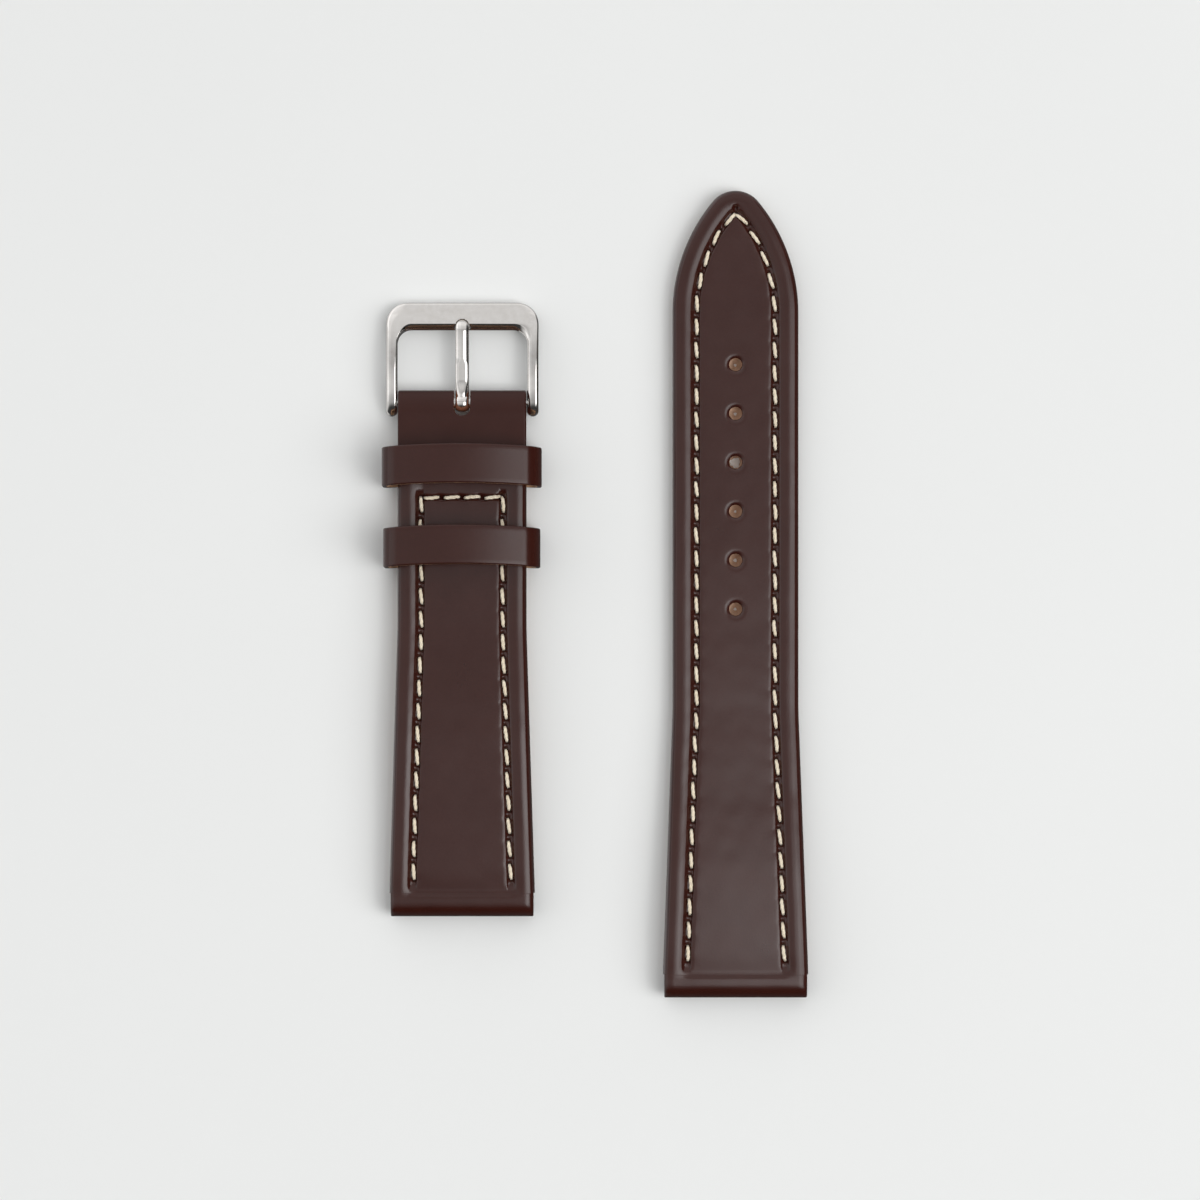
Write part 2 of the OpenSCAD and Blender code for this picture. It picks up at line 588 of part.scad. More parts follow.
module short_upper() color(leather) on_short() difference() {
    union() {
        short_layer(upper_rings, len(rim_rings) - 1, upper_fill, upper_middle, notch_y, body_end);
        lug_end();
        fold();
    }
    lug_bore();
    slot();
    translate([0, bar_y, bar_z]) rod_x(fold_bore_r, -fold_w, fold_w);
    translate([-row_reach / 2, row_y - channel_half, short_base(row_y) + thick(row_y) - floor_up])
        cube([row_reach, 2 * channel_half, over]);
}
module short_filler() color(filler_tone) on_short()
    short_layer(filler_rings, -1, filler_fill, filler_middle, notch_y + end_lap, body_end - end_lap);
module short_stay() color(stay_tone) on_short()
    short_layer(stay_rings, -1, [], stay_middle, notch_y + end_lap, body_end - end_lap);
module short_lining() color(lining_tan) on_short() difference() {
    short_layer(lining_rings, -1, lining_fill, lining_middle, notch_y, body_end);
    translate([-row_reach / 2, row_y - bobbin_half, lift - over])
        cube([row_reach, 2 * bobbin_half, over + bobbin_channel]);
}
module short_top_thread() color(thread_tone) on_short()
    short_seam(top_place, thread_d / 2);
module short_bobbin_thread() color(thread_tone) on_short()
    short_seam(bobbin_place, bobbin_d / 2);

module fixed_keeper() color(leather_dark) on_short()
    keeper_ring(fixed_keeper_w, fixed_keeper_h, keeper_gap, 0, keeper_t, fixed_keeper_y);
module fixed_keeper_lining() color(lining_tan) on_short()
    keeper_ring(fixed_keeper_w, fixed_keeper_h, keeper_gap, keeper_t, keeper_lining_t, fixed_keeper_y);
module free_keeper() color(leather_dark) on_short()
    keeper_ring(free_keeper_w, keeper_h, 0, 0, keeper_t, free_keeper_y);
module free_keeper_lining() color(lining_tan) on_short()
    keeper_ring(free_keeper_w, keeper_h, 0, keeper_t, keeper_lining_t, free_keeper_y);

module long_upper() color(leather) on_long() difference() {
    union() {
        long_layer(upper_rings, len(rim_rings) - 1, upper_fill, upper_middle, notch_y);
        lug_end();
    }
    lug_bore();
    holes();
}
module long_filler() color(filler_tone) on_long() difference() {
    long_layer(filler_rings, -1, filler_fill, filler_middle, notch_y + end_lap);
    holes();
}
module long_stay() color(stay_tone) on_long() difference() {
    long_layer(stay_rings, -1, [], stay_middle, notch_y + end_lap);
    holes();
}
module long_lining() color(lining_tan) on_long() difference() {
    long_layer(lining_rings, -1, lining_fill, lining_middle, notch_y);
    holes();
}
module long_top_thread() color(thread_tone) on_long() long_seam(top_place, thread_d / 2);
module long_bobbin_thread() color(thread_tone) on_long() long_seam(bobbin_place, bobbin_d / 2);

short_upper();
short_filler();
short_stay();
short_lining();
short_top_thread();
short_bobbin_thread();
fixed_keeper();
fixed_keeper_lining();
free_keeper();
free_keeper_lining();
buckle_frame();
buckle_tongue();
spring_bar_tube();
spring_bar_tip_left();
spring_bar_tip_right();
spring_bar_spring();
long_upper();
long_filler();
long_stay();
long_lining();
long_top_thread();
long_bobbin_thread();
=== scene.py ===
import math

import bmesh
import bpy
import numpy as np
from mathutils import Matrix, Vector


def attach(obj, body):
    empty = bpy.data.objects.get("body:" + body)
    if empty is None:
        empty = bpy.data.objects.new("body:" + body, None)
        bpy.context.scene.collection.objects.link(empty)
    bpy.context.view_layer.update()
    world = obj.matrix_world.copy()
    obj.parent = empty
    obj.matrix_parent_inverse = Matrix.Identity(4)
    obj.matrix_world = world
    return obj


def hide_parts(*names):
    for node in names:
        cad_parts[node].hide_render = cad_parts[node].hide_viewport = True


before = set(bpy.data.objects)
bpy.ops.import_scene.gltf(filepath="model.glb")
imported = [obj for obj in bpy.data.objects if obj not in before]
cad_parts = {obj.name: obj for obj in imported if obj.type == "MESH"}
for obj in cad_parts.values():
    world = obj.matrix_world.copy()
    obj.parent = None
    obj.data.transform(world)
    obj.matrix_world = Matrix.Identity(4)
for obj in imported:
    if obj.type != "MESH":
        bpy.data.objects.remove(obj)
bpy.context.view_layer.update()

# Lengths below are in millimetres, and meshes are written in metres.
MM = 0.001
scene = bpy.context.scene

# The camera comes first: straight above the middle of the photograph
PX_PER_MM = 7.2
PHOTO_SIDE = 1200
PHOTO_ORIGIN = (595.5, 594.0)
CAMERA_UP = 620.0
AIM_Z = 2.5

# Strap sizes, the same as the part's
lug_w, tail_w, buckle_half_w = 20.2, 17.5, 17.9
long_len, short_len, taper_len = 112.2, 73.1, 40.0
lug_t, tail_t = 4.2, 2.6
short_x, long_x, long_y, short_y = -18.525, 19.475, -56.1, -44.8
upper_t, lining_t, flap_t, stay_t = 0.8, 0.8, 0.45, 0.25
lining_inset, flap_in = 0.85, 3.0
crest_in, rim_h, channel_d, seam_in = 1.5, 0.28, 0.22, 3.3
stitch_pitch, stitch_len, seam_stop = 3.24, 2.15, 1.9
lug_bore_r, notch_y, roll_w = 0.95, 3.3, 19.8
tip_r, tip_len = 4.1, 17.0
hole_r, hole_pitch, hole_count, hole_start = 0.9, 6.8, 6, 24.2
keeper_band, keeper_t, keeper_lining_t, keeper_corner_r = 5.4, 0.6, 0.4, 1.7
fixed_keeper_y, free_keeper_y, row_y = 59.9, 48.7, 58.2
lift, body_end, bar_y, bar_z = 1.3, 62.98, 71.4, 1.97
panel_up, floor_up, channel_half = rim_h, rim_h + channel_d, 0.3
side_t, filler_rise = 0.7, 0.3
fold_r, fold_bore_r, fold_w = 1.7, 0.8, 17.8
slot_w, slot_end = 2.3, 69.55


def smooth_table(points, spread):
    """A table of (y, value) as a smooth curve."""
    grid = np.arange(-8, 130, 0.1)
    xs, vs = zip(*points)
    raw = np.interp(grid, xs, vs)
    k = np.arange(-4 * spread, 4 * spread + 0.05, 0.1)
    w = np.exp(-0.5 * (k / spread) ** 2)
    pad = len(k) // 2
    soft = np.convolve(np.pad(raw, pad, mode="edge"), w / w.sum(), mode="valid")
    return lambda y: np.interp(y, grid, soft)


padding = smooth_table([(s * taper_len, h * (lug_t - tail_t)) for s, h in (
    (-0.2, 0.7), (0, 0.7), (0.08, 0.76), (0.15, 0.94), (0.24, 1), (0.45, 0.84),
    (0.72, 0.38), (1, 0.1), (1.3, 0), (3.5, 0))], 0.9)
lifting = smooth_table([(s * taper_len, h * lift) for s, h in (
    (-0.2, 0), (0.3, 0), (0.45, 0.35), (0.62, 0.85), (0.74, 1), (3.5, 1))], 0.9)


def half_width(end_w):
    return smooth_table([(-8, lug_w / 2), (notch_y, lug_w / 2), (taper_len, end_w / 2),
                         (130, end_w / 2)], 0.8)


def thick(y):
    return tail_t + padding(y)


def step(x, a, b):
    """Smooth rise from 0 at a to 1 at b."""
    t = np.clip((x - a) / (b - a), 0, 1)
    return t * t * (3 - 2 * t)


# Deterministic smooth noise: a sum of waves
WAVES = np.random.default_rng(7).uniform(-1, 1, (24, 4))


def unevenness(x, y, scale):
    """Smooth unevenness from -1 to 1 of the given scale in mm."""
    total = np.zeros(np.broadcast(x, y).shape)
    for a, b, c, d in WAVES:
        total = total + np.sin((a * x + b * y) * 2 * math.pi / scale + 9 * c) * (0.6 + 0.4 * d)
    return total / 5.5


# ---- Meshes

def arc(cx, cy, r, first, last, n, end=True):
    """n points on an arc from one angle in degrees to another."""
    a = np.radians(np.linspace(first, last, n, endpoint=end))
    return np.stack([cx + r * np.cos(a), cy + r * np.sin(a)], 1)


def link(name, data):
    obj = bpy.data.objects.new(name, data)
    scene.collection.objects.link(obj)
    return obj


class Mesh:
    """Collects vertices in mm and faces with material numbers."""

    def __init__(self):
        self.v, self.f, self.m, self.count = [], [], [], 0

    def add(self, points):
        points = np.asarray(points, float).reshape(-1, 3)
        self.v.append(points)
        self.count += len(points)
        return np.arange(self.count - len(points), self.count)

    def quads(self, a, b, closed=False, mat=0):
        """Quads between two rows of vertices."""
        n = len(a)
        for i in range(n if closed else n - 1):
            j = (i + 1) % n
            self.face((a[i], a[j], b[j], b[i]), mat)

    def tube(self, rings, mat=0):
        """Closed rings joined one after another."""
        for a, b in zip(rings, rings[1:]):
            self.quads(a, b, closed=True, mat=mat)

    def rod(self, rings):
        """The same with a face at each end."""
        self.tube(rings)
        self.face(rings[0])
        self.face(rings[-1])

    def face(self, f, mat=0):
        out = list(dict.fromkeys(int(i) for i in f))
        if len(out) > 2:
            self.f.append(out)
            self.m.append(mat)

    def points(self):
        return np.concatenate(self.v)

    def make(self, name, place, mats, smooth_angle=50, merge=0.004):
        data = bpy.data.meshes.new(name)
        data.from_pydata(((self.points() + np.array(place)) * MM).tolist(), [], self.f)
        data.polygons.foreach_set("material_index", self.m)
        obj = link(name, data)
        for m in mats:
            data.materials.append(m)
        finish_mesh(obj, smooth_angle, merge)
        return obj


def finish_mesh(obj, smooth_angle, merge):
    """Merges doubles, turns faces outwards and sets smooth shading below an angle."""
    bm = bmesh.new()
    bm.from_mesh(obj.data)
    if merge:
        bmesh.ops.remove_doubles(bm, verts=bm.verts, dist=merge * MM)
    bmesh.ops.recalc_face_normals(bm, faces=bm.faces)
    limit = math.radians(smooth_angle)
    for f in bm.faces:
        f.smooth = True
    for e in bm.edges:
        e.smooth = len(e.link_faces) == 2 and e.calc_face_angle(0) < limit
    bm.to_mesh(obj.data)
    bm.free()
    obj.data.update()


def dress(obj, body, slot, *nodes):
    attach(obj, body)
    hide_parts(*nodes)


# ---- Materials

def linear(v):
    """Linear light of an sRGB value."""
    return v / 12.92 if v <= 0.04045 else ((v + 0.055) / 1.055) ** 2.4


class Graph:
    """Helpers for a node tree. Scales are in features per mm."""

    def __init__(self, tree, space):
        self.t = tree
        self.coord = tree.nodes.new("ShaderNodeTexCoord").outputs[space]

    def node(self, kind, inputs, **props):
        n = self.t.nodes.new(kind)
        for key, value in props.items():
            setattr(n, key, value)
        self.put(n, inputs)
        return n.outputs

    def put(self, n, inputs):
        """Sets a node's inputs to values or sockets. None leaves an input as it is."""
        for key, value in inputs.items():
            if isinstance(value, bpy.types.NodeSocket):
                self.t.links.new(value, n.inputs[key])
            elif value is not None:
                n.inputs[key].default_value = value

    def stretched(self, *scale):
        return self.node("ShaderNodeMapping", {"Vector": self.coord, "Scale": scale})["Vector"]

    def noise(self, per_mm, detail=3.0, rough=0.5, vector=None):
        return self.node("ShaderNodeTexNoise", {
            "Vector": vector or self.coord, "Scale": per_mm / MM, "Detail": detail,
            "Roughness": rough})["Fac"]

    def cells(self, per_mm):
        return self.node("ShaderNodeTexVoronoi", {"Vector": self.coord, "Scale": per_mm / MM},
                         feature="DISTANCE_TO_EDGE")["Distance"]

    def ranged(self, value, a, b, c=0, d=1, kind="LINEAR"):
        """From c to d as the value goes from a to b."""
        return self.node("ShaderNodeMapRange", {
            "Value": value, "From Min": a, "From Max": b, "To Min": c, "To Max": d},
            interpolation_type=kind)["Result"]

    def math(self, op, a, b):
        return self.node("ShaderNodeMath", {0: a, 1: b}, operation=op)["Value"]

    def mix(self, fac, a, b):
        """From one colour to another, written as sRGB 0 to 255."""
        a, b = ((*(linear(v / 255) for v in colour), 1.0) for colour in (a, b))
        return self.node("ShaderNodeMix", {"Factor": fac, 6: a, 7: b}, data_type="RGBA")[2]

    def bump(self, height, strength, mm, after=None):
        return self.node("ShaderNodeBump", {
            "Height": height, "Strength": strength, "Distance": mm * MM,
            "Normal": after})["Normal"]


class Nodes(Graph):
    """A Principled material."""

    def __init__(self, name, rough, metallic=0.0, gloss=0.5):
        self.mat = bpy.data.materials.new(name)
        self.mat.use_nodes = True
        super().__init__(self.mat.node_tree, "Object")
        self.shader = self.t.nodes["Principled BSDF"]
        self.put(self.shader, {"Metallic": metallic, "IOR": 1.5, "Roughness": rough,
                               "Specular IOR Level": gloss})

    def finish(self, colour, rough=None, normal=None):
        self.put(self.shader, {"Base Color": colour, "Roughness": rough, "Normal": normal})
        return self.mat


def leather(name, colour, light, rough, gloss=0.5):
    """Smooth finished calf: faint mottling, fine pores and a soft sheen."""
    n = Nodes(name, rough, gloss=gloss)
    mottle = n.noise(0.16, 4, 0.6)
    fine = n.noise(2.6, 3, 0.55)
    tone = n.math("ADD", n.math("MULTIPLY", mottle, 0.65), n.math("MULTIPLY", fine, 0.35))
    col = n.mix(n.ranged(tone, 0.32, 0.68), colour, light)
    pores = n.ranged(n.cells(2.3), 0.0, 0.25)
    skin = n.bump(pores, 0.1, 0.02)
    skin = n.bump(n.noise(4.0, 3, 0.6), 0.07, 0.02, skin)
    skin = n.bump(n.noise(1.4, 3, 0.6), 0.1, 0.03, skin)
    return n.finish(col, n.ranged(mottle, 0.3, 0.7, rough - 0.02, rough + 0.03), skin)


def raw_leather(name, colour, light):
    """Cut or unfinished leather: fibrous and matt."""
    n = Nodes(name, 0.75)
    fibre = n.noise(3.5, 5, 0.65, n.stretched(1, 1, 2.5))
    mottle = n.noise(0.5, 3)
    col = n.mix(n.ranged(n.math("ADD", fibre, mottle), 0.75, 1.25), colour, light)
    return n.finish(col, n.ranged(fibre, 0.3, 0.7, 0.67, 0.83), n.bump(fibre, 0.5, 0.05))


def grained_lining(name, colour, light):
    """Lining calf: matt, with a visible pebbled grain."""
    n = Nodes(name, 0.6)
    pebbles = n.ranged(n.cells(1.3), 0.0, 0.3)
    mottle = n.noise(0.25, 4, 0.6)
    col = n.mix(n.ranged(mottle, 0.35, 0.65), colour, light)
    skin = n.bump(pebbles, 0.45, 0.05)
    return n.finish(col, n.ranged(n.noise(1.2), 0.3, 0.7, 0.52, 0.68),
                    n.bump(n.noise(4, 4), 0.3, 0.03, skin))


def thread(name, colour, light):
    """Waxed linen thread: fine fibres and slight tone changes."""
    n = Nodes(name, 0.55)
    fibre = n.noise(7.0, 4, 0.6)
    tone = n.noise(0.8, 3, 0.6)
    col = n.mix(n.ranged(n.math("ADD", fibre, tone), 0.75, 1.25), colour, light)
    n.shader.inputs["Sheen Weight"].default_value = 0.2
    return n.finish(col, n.ranged(fibre, 0.3, 0.7, 0.48, 0.7), n.bump(fibre, 0.5, 0.04))


def board(name, colour, light):
    """Bonded filler board: pressed fibres."""
    n = Nodes(name, 0.85)
    flecks = n.noise(2.0, 5, 0.7)
    return n.finish(n.mix(n.ranged(flecks, 0.35, 0.65), colour, light),
                    n.ranged(flecks, 0.3, 0.7, 0.8, 0.95), n.bump(flecks, 0.5, 0.06))


def tape(name, colour, light):
    """Woven stay tape."""
    n = Nodes(name, 0.85)
    wave = n.node("ShaderNodeTexWave", {"Vector": n.coord, "Scale": 0.45 / MM, "Distortion": 0.6},
                  wave_type="BANDS", bands_direction="Y")
    weave = n.math("MULTIPLY", wave["Fac"], n.noise(1.5, 2))
    return n.finish(n.mix(weave, colour, light), n.ranged(weave, 0, 1, 0.8, 0.92),
                    n.bump(weave, 0.5, 0.05))


def steel(name, colour, light, rough, lines):
    """Polished or drawn steel with faint wear. lines: drawn along x."""
    n = Nodes(name, rough, metallic=1.0)
    wear = n.noise(0.9, 4, 0.6)
    grain = n.noise(3.0, 3, 0.6, n.stretched(0.25, 3, 3) if lines else None)
    col = n.mix(n.ranged(wear, 0.3, 0.7), colour, light)
    worn = n.ranged(n.math("ADD", wear, grain), 0.7, 1.3, rough * 0.75, rough * 1.35)
    return n.finish(col, worn, n.bump(grain, 0.2 if lines else 0.06, 0.01))


outer = leather("outer_leather", (50, 18, 11), (55, 22, 15), 0.22)
# the fold's leather is a little darker than the outer leather: painted shade for the fold beside
# the keeper, on a rougher, less glossy finish
fold_leather = leather("fold_leather", (48, 17, 10), (53, 21, 14), 0.3, 0.3)
keeper_outer = leather("keeper_leather", (50, 18, 11), (55, 22, 15), 0.23, 0.42)
raw_edge = raw_leather("raw_edge", (150, 92, 58), (186, 124, 84))
punched_edge = raw_leather("punched_edge", (176, 146, 124), (200, 168, 144))
slot_edge = raw_leather("slot_edge", (104, 60, 38), (146, 88, 58))
lining_tan = grained_lining("lining_leather", (164, 124, 92), (184, 144, 110))
filler = board("filler_board", (150, 122, 98), (176, 146, 120))
stay = tape("stay_tape", (214, 208, 192), (232, 226, 212))
cream = thread("thread", (226, 211, 184), (240, 229, 208))
polished = steel("polished_steel", (226, 222, 218), (234, 231, 228), 0.09, False)
drawn = steel("bar_steel", (205, 204, 202), (218, 217, 215), 0.24, True)


# ---- Outlines and sections

def side_stations(ys, end_w):
    """Points of the right edge with their outward normals: x, y, nx, ny."""
    width = half_width(end_w)
    return np.array([(width(y), y, 1.0, 0.0) for y in ys])


tip_half = tail_w / 2
tip_rise = tip_len - tip_r
shoulder_r = (tip_half ** 2 + tip_rise ** 2 - tip_r ** 2) / (2 * (tip_half - tip_r))
shoulder_y = long_len - tip_len
tangent_a = math.asin(tip_rise / (shoulder_r - tip_r))


def tip_stations():
    """The pointed tip's edge: its side, then its small round end."""
    rows = []
    for cx, cy, r, first, last, n in (
            (tip_half - shoulder_r, shoulder_y, shoulder_r, 0.0, tangent_a, 49),
            (0.0, long_len - tip_r, tip_r, tangent_a, math.pi / 2, 19)):
        rows += [(cx + r * math.cos(a), cy + r * math.sin(a), math.cos(a), math.sin(a))
                 for a in np.linspace(first, last, n)[1:]]
    return np.array(rows)


def between(anchors, pitch):
    """Places from anchor to anchor, evenly spread, about a pitch apart."""
    out = [anchors[0]]
    for a, b in zip(anchors, anchors[1:]):
        n = max(1, math.ceil((b - a) / pitch - 1e-6))
        out += [a + (b - a) * (i + 1) / n for i in range(n)]
    return out


hole_ys = [long_len - hole_start - i * hole_pitch for i in range(hole_count)][::-1]
# each hole sits in a square block of the grid: its half side, its cells and its rings
BLOCK, BLOCK_CELLS, HOLE_RINGS = 2.4, 16, 18


def long_stations(first, pitch):
    anchors = [first] + [h + s * BLOCK for h in hole_ys for s in (-1, 1)] + [shoulder_y]
    ys = between(anchors, pitch)
    return np.concatenate([side_stations(ys, tail_w), tip_stations()])


def short_stations(first, last, pitch):
    return side_stations(between([first, row_y - 0.6, row_y + 0.6, last], pitch), buckle_half_w)


# the rim: its crown, its shoulder's reach, angle and radius, and where its inner flank ends
CROWN, SHOULDER_IN, SHOULDER_A, SHOULDER_R = 0.15, 0.6, 83.0, 0.683
FLANK_IN, PANEL_IN = 2.5, 3.92


def rim_profile():
    """Rings of the outer leather: distance from the edge, share of thickness, and rise."""
    rings = [(flap_in, 0, lining_t), (2.2, 0, lining_t), (1.4, 0, lining_t)]
    for a in np.radians((90, 72, 54, 36, 18)):
        rings.append((lining_inset * (1 - math.cos(a)), (1 - math.sin(a)) / 2,
                      lining_t * math.sin(a)))
    # a tight shoulder, then the rim's gently crowned top
    for a in np.radians(list(np.linspace(0, 60, 11)) + [66, 72, 77, SHOULDER_A]):
        up = math.sin(a) / math.sin(math.radians(SHOULDER_A))
        rings.append((SHOULDER_R * (1 - math.cos(a)), (1 + up) / 2,
                      -CROWN * (crest_in - SHOULDER_IN) ** 2 * up))
    for d in np.linspace(SHOULDER_IN, crest_in, 9)[1:]:
        rings.append((d, 1, -CROWN * (crest_in - d) ** 2))
    return rings


WALL_IN = seam_in - channel_half
TOP_RINGS = [1.62, 1.74, 1.86, 1.98, 2.1, 2.22, 2.34, 2.44, 2.52, 2.6, 2.68, 2.76, 2.84, 2.92,
             WALL_IN, 3.08, 3.16, 3.23, 3.3, 3.37, 3.44, 3.52, 3.6, 3.67, 3.74, 3.82, PANEL_IN]


def rim_rise(d):
    """Rise over the crest at a distance from the edge, with the stitch channel."""
    d = np.asarray(d, float)
    # its inner flank is crowned like the outer one, then drops to the stitch channel
    flank = np.clip(d, crest_in, FLANK_IN) - crest_in
    low = CROWN * (FLANK_IN - crest_in) ** 2
    run = WALL_IN - FLANK_IN
    t = np.clip((d - FLANK_IN) / run, 0, 1)
    slope = 2 * CROWN * (FLANK_IN - crest_in) * run
    out = -CROWN * flank ** 2 - (floor_up - low) * t * t * (3 - 2 * t) - slope * t * (1 - t) ** 2
    up = step(d, seam_in + channel_half * 0.85, seam_in + channel_half + channel_d * 1.3)
    return out + channel_d * up


def plain_rise(d):
    """The same where there is no channel: the rim falls softly to the panel."""
    return -panel_up * step(np.asarray(d, float), crest_in, crest_in + 2.3)


# the rolled lug end: height of its nose, where its crest lies, the crest's height, roundness
NOSE_Z, NOSE_IN, ROLL_TOP, ROUND = 1.65, 2.3, 3.8, 2.3


def end_top(y):
    """Top of the rolled lug end: a round nose up to its crest."""
    u = np.clip((NOSE_IN - np.asarray(y, float)) / NOSE_IN, 0, 1)
    return NOSE_Z + (ROLL_TOP - NOSE_Z) * (1 - u ** ROUND) ** (1 / ROUND)


class Half:
    """What the two halves share: heights over the floor, the stitch channel's end, stitch holes,
    half the cross row's width, the dimple's place and the punched holes' places."""

    def __init__(self, base, channel_to, stitches, row=None, dimple=None, punched=()):
        self.base, self.channel_to = base, channel_to
        self.holes = np.array([p for s in stitches for p in s])
        self.row, self.dimple, self.punched = row, dimple, punched

    def top(self, x, y, d, plain=False):
        """Height of the outer leather's top at (x, y), at distance d from the edge. Plain leaves
        out the dents and holes."""
        x, y, d = (np.asarray(v, float) for v in (x, y, d))
        c1 = self.channel_to
        keep = step(y, 3.5, 4.6) * (1 - step(y, c1, c1 + 1.0))
        rise = keep * rim_rise(d) + (1 - keep) * plain_rise(d)
        # the rims run round the corners into the rolled end, which stands over the panel too
        z = self.base(y) + thick(y) + rise * step(y, NOSE_IN, 3.9)
        w = 1 - step(y, NOSE_IN, 3.1)
        z = z + w * (end_top(y) + self.base(y) - z)
        z = z + 0.022 * unevenness(x, y, 9.0) * step(d, 0.3, 1.2)
        z = z + 0.010 * unevenness(y, x, 3.1) * step(d, 0.3, 1.2)
        if plain:
            return z
        r2 = (x[..., None] - self.holes[:, 0]) ** 2 + (y[..., None] - self.holes[:, 1]) ** 2
        for depth, reach in ((0.7, 0.24), (0.05, 0.7)):
            z = z - depth * np.exp(-r2 / reach ** 2).sum(-1) * keep
        if self.row is not None:
            across = np.exp(-(np.abs(y - row_y) / 0.33) ** 4)
            across = across * (1 - step(np.abs(x), self.row, self.row + 0.3))
            z = z - channel_d * across * step(d, 3.4, 3.8)
        if self.dimple is not None:
            z = z - 0.5 * np.exp(-(x ** 2 + (y - self.dimple) ** 2) / 0.33 ** 2)
        for hy in self.punched:
            r = np.sqrt(x ** 2 + (y - hy) ** 2)
            z = z - 0.16 * np.exp(-(np.maximum(r - hole_r, 0) / 0.36) ** 2)
            z = z - 0.16 * np.exp(-np.maximum(r - hole_r, 0) / 0.07)
        return z


def layer(sides, rings, top, height, columns, holes, cap_z, lips=None):
    """A layer lofted through rings, mirrored about x = 0. The half with the punched holes, which
    go through its caps, closes at its tip.
    rings: tuples that start with the distance from the edge. top: number of the top's ring.
    height and cap_z give heights on a ring and on a cap. The holes' walls have material 1."""
    mesh = Mesh()
    sx, sy, nx, ny = sides.T
    right, left, places = [], [], []
    for k, (d, *_) in enumerate(rings):
        x, y = sx - d * nx, sy - d * ny
        right.append(mesh.add(np.stack([x, y, height(k, x, y)], 1)))
        left.append(mesh.add(np.stack([-x, y, height(k, -x, y)], 1)))
        places.append((x, y))
    m = len(rings)
    for k in range(m):
        if k != top:
            mesh.quads(right[k], right[(k + 1) % m])
            mesh.quads(left[(k + 1) % m], left[k])
    low = (top + 1) % m
    rims, grids = [], []
    for k in (top, low):
        x, y = places[k]
        grid = [right[k]]
        for f in columns:
            grid.append(mesh.add(np.stack([x * f, y, cap_z(k, x * f, y, x)], 1)))
        grid.append(left[k])
        grids.append(np.array(grid).T)
        radii = lips if lips and k == low else [hole_r] * len(holes)
        rims.append(cap(mesh, grids[-1], holes, radii, k, cap_z, y))
    for a, b in zip(*rims):
        pa, pb = mesh.points()[a], mesh.points()[b]
        rows = [a] + [mesh.add(pa + (pb - pa) * t) for t in (0.25, 0.5, 0.75)] + [b]
        mesh.tube(rows, 1)
    for i in (0,) if holes else (0, -1):
        for hand in (right, left):
            mesh.face([hand[k][i] for k in range(m)])
        mesh.face([*grids[0][i], *grids[1][i][::-1]])
    return mesh


def cap(mesh, grid, holes, radii, k, cap_z, y):
    """Fills a cap's grid with quads, and with rings round each punched hole."""
    rows, cols = grid.shape
    skip = np.zeros((rows - 1, cols - 1), bool)
    rims = []
    c0 = (cols - 1 - BLOCK_CELLS) // 2
    c1 = c0 + BLOCK_CELLS
    for hy, radius in zip(holes, radii):
        i0 = int(np.argmin(np.abs(y - (hy - BLOCK))))
        i1 = int(np.argmin(np.abs(y - (hy + BLOCK))))
        skip[i0:i1, c0:c1] = True
        loop = ([grid[i, c0] for i in range(i0, i1)] + [grid[i1, c] for c in range(c0, c1)]
                + [grid[i, c1] for i in range(i1, i0, -1)]
                + [grid[i0, c] for c in range(c1, c0, -1)])
        p = mesh.points()[loop]
        ang = np.arctan2(p[:, 1] - hy, p[:, 0])
        if radius < hole_r:
            # a lip is ragged
            radius = radius * (1 + 0.12 * np.sin(3 * ang + hy) + 0.07 * np.sin(7 * ang - hy))
        cx, cy = radius * np.cos(ang), hy + radius * np.sin(ang)
        prev = np.array(loop)
        for j in range(1, HOLE_RINGS + 1):
            t = 1 - (1 - j / HOLE_RINGS) ** 1.9
            x = p[:, 0] + (cx - p[:, 0]) * t
            yy = p[:, 1] + (cy - p[:, 1]) * t
            cur = mesh.add(np.stack([x, yy, cap_z(k, x, yy, None)], 1))
            mesh.quads(prev, cur, closed=True)
            prev = cur
        rims.append(prev)
    for i in range(rows - 1):
        for c in range(cols - 1):
            if not skip[i, c]:
                mesh.face((grid[i, c], grid[i, c + 1], grid[i + 1, c + 1], grid[i + 1, c]))
    return rims


def columns_for(d_last, side_n):
    """Fractions of the cap's half width, with the hole blocks' columns among them."""
    f = BLOCK / (tail_w / 2 - d_last)
    return [*np.linspace(1, f, side_n + 1)[1:], *np.linspace(f, -f, BLOCK_CELLS + 1)[1:],
            *np.linspace(-f, -1, side_n + 1)[1:-1]]


def upper_layer(half, sides, holes):
    """The outer leather: round the side, over the rim and panel, and back along its inside."""
    rings = rim_profile()
    crest = len(rings) - 1
    rings += [(d, 1, None) for d in TOP_RINGS]
    top = len(rings) - 1
    rings += [(PANEL_IN, 1, -panel_up - upper_t), (crest_in + filler_rise, 1, -upper_t),
              (side_t, 1, -upper_t - filler_rise), (side_t, 0, lining_t + flap_t),
              (flap_in, 0, lining_t + flap_t)]

    def height(k, x, y):
        d, share, rise = rings[k]
        if rise is None or k == crest:
            return half.top(x, y, d + 0 * x)
        z = half.base(y) + share * thick(y) + rise
        if k < crest and share > 0.5:
            # the side follows the crest where the end is raised
            z = z + (half.top(x, y, crest_in + 0 * x) - half.base(y) - thick(y)) * (2 * share - 1)
        return z

    def cap_z(k, x, y, edge):
        if k == top:
            # round a hole every point lies well inside
            d = 9.0 + 0 * x if edge is None else PANEL_IN + (edge - np.abs(x))
            return half.top(x, y, d)
        return half.base(y) + thick(y) - panel_up - upper_t + 0 * x

    return layer(sides, rings, top, height, columns_for(PANEL_IN, 7), holes, cap_z)


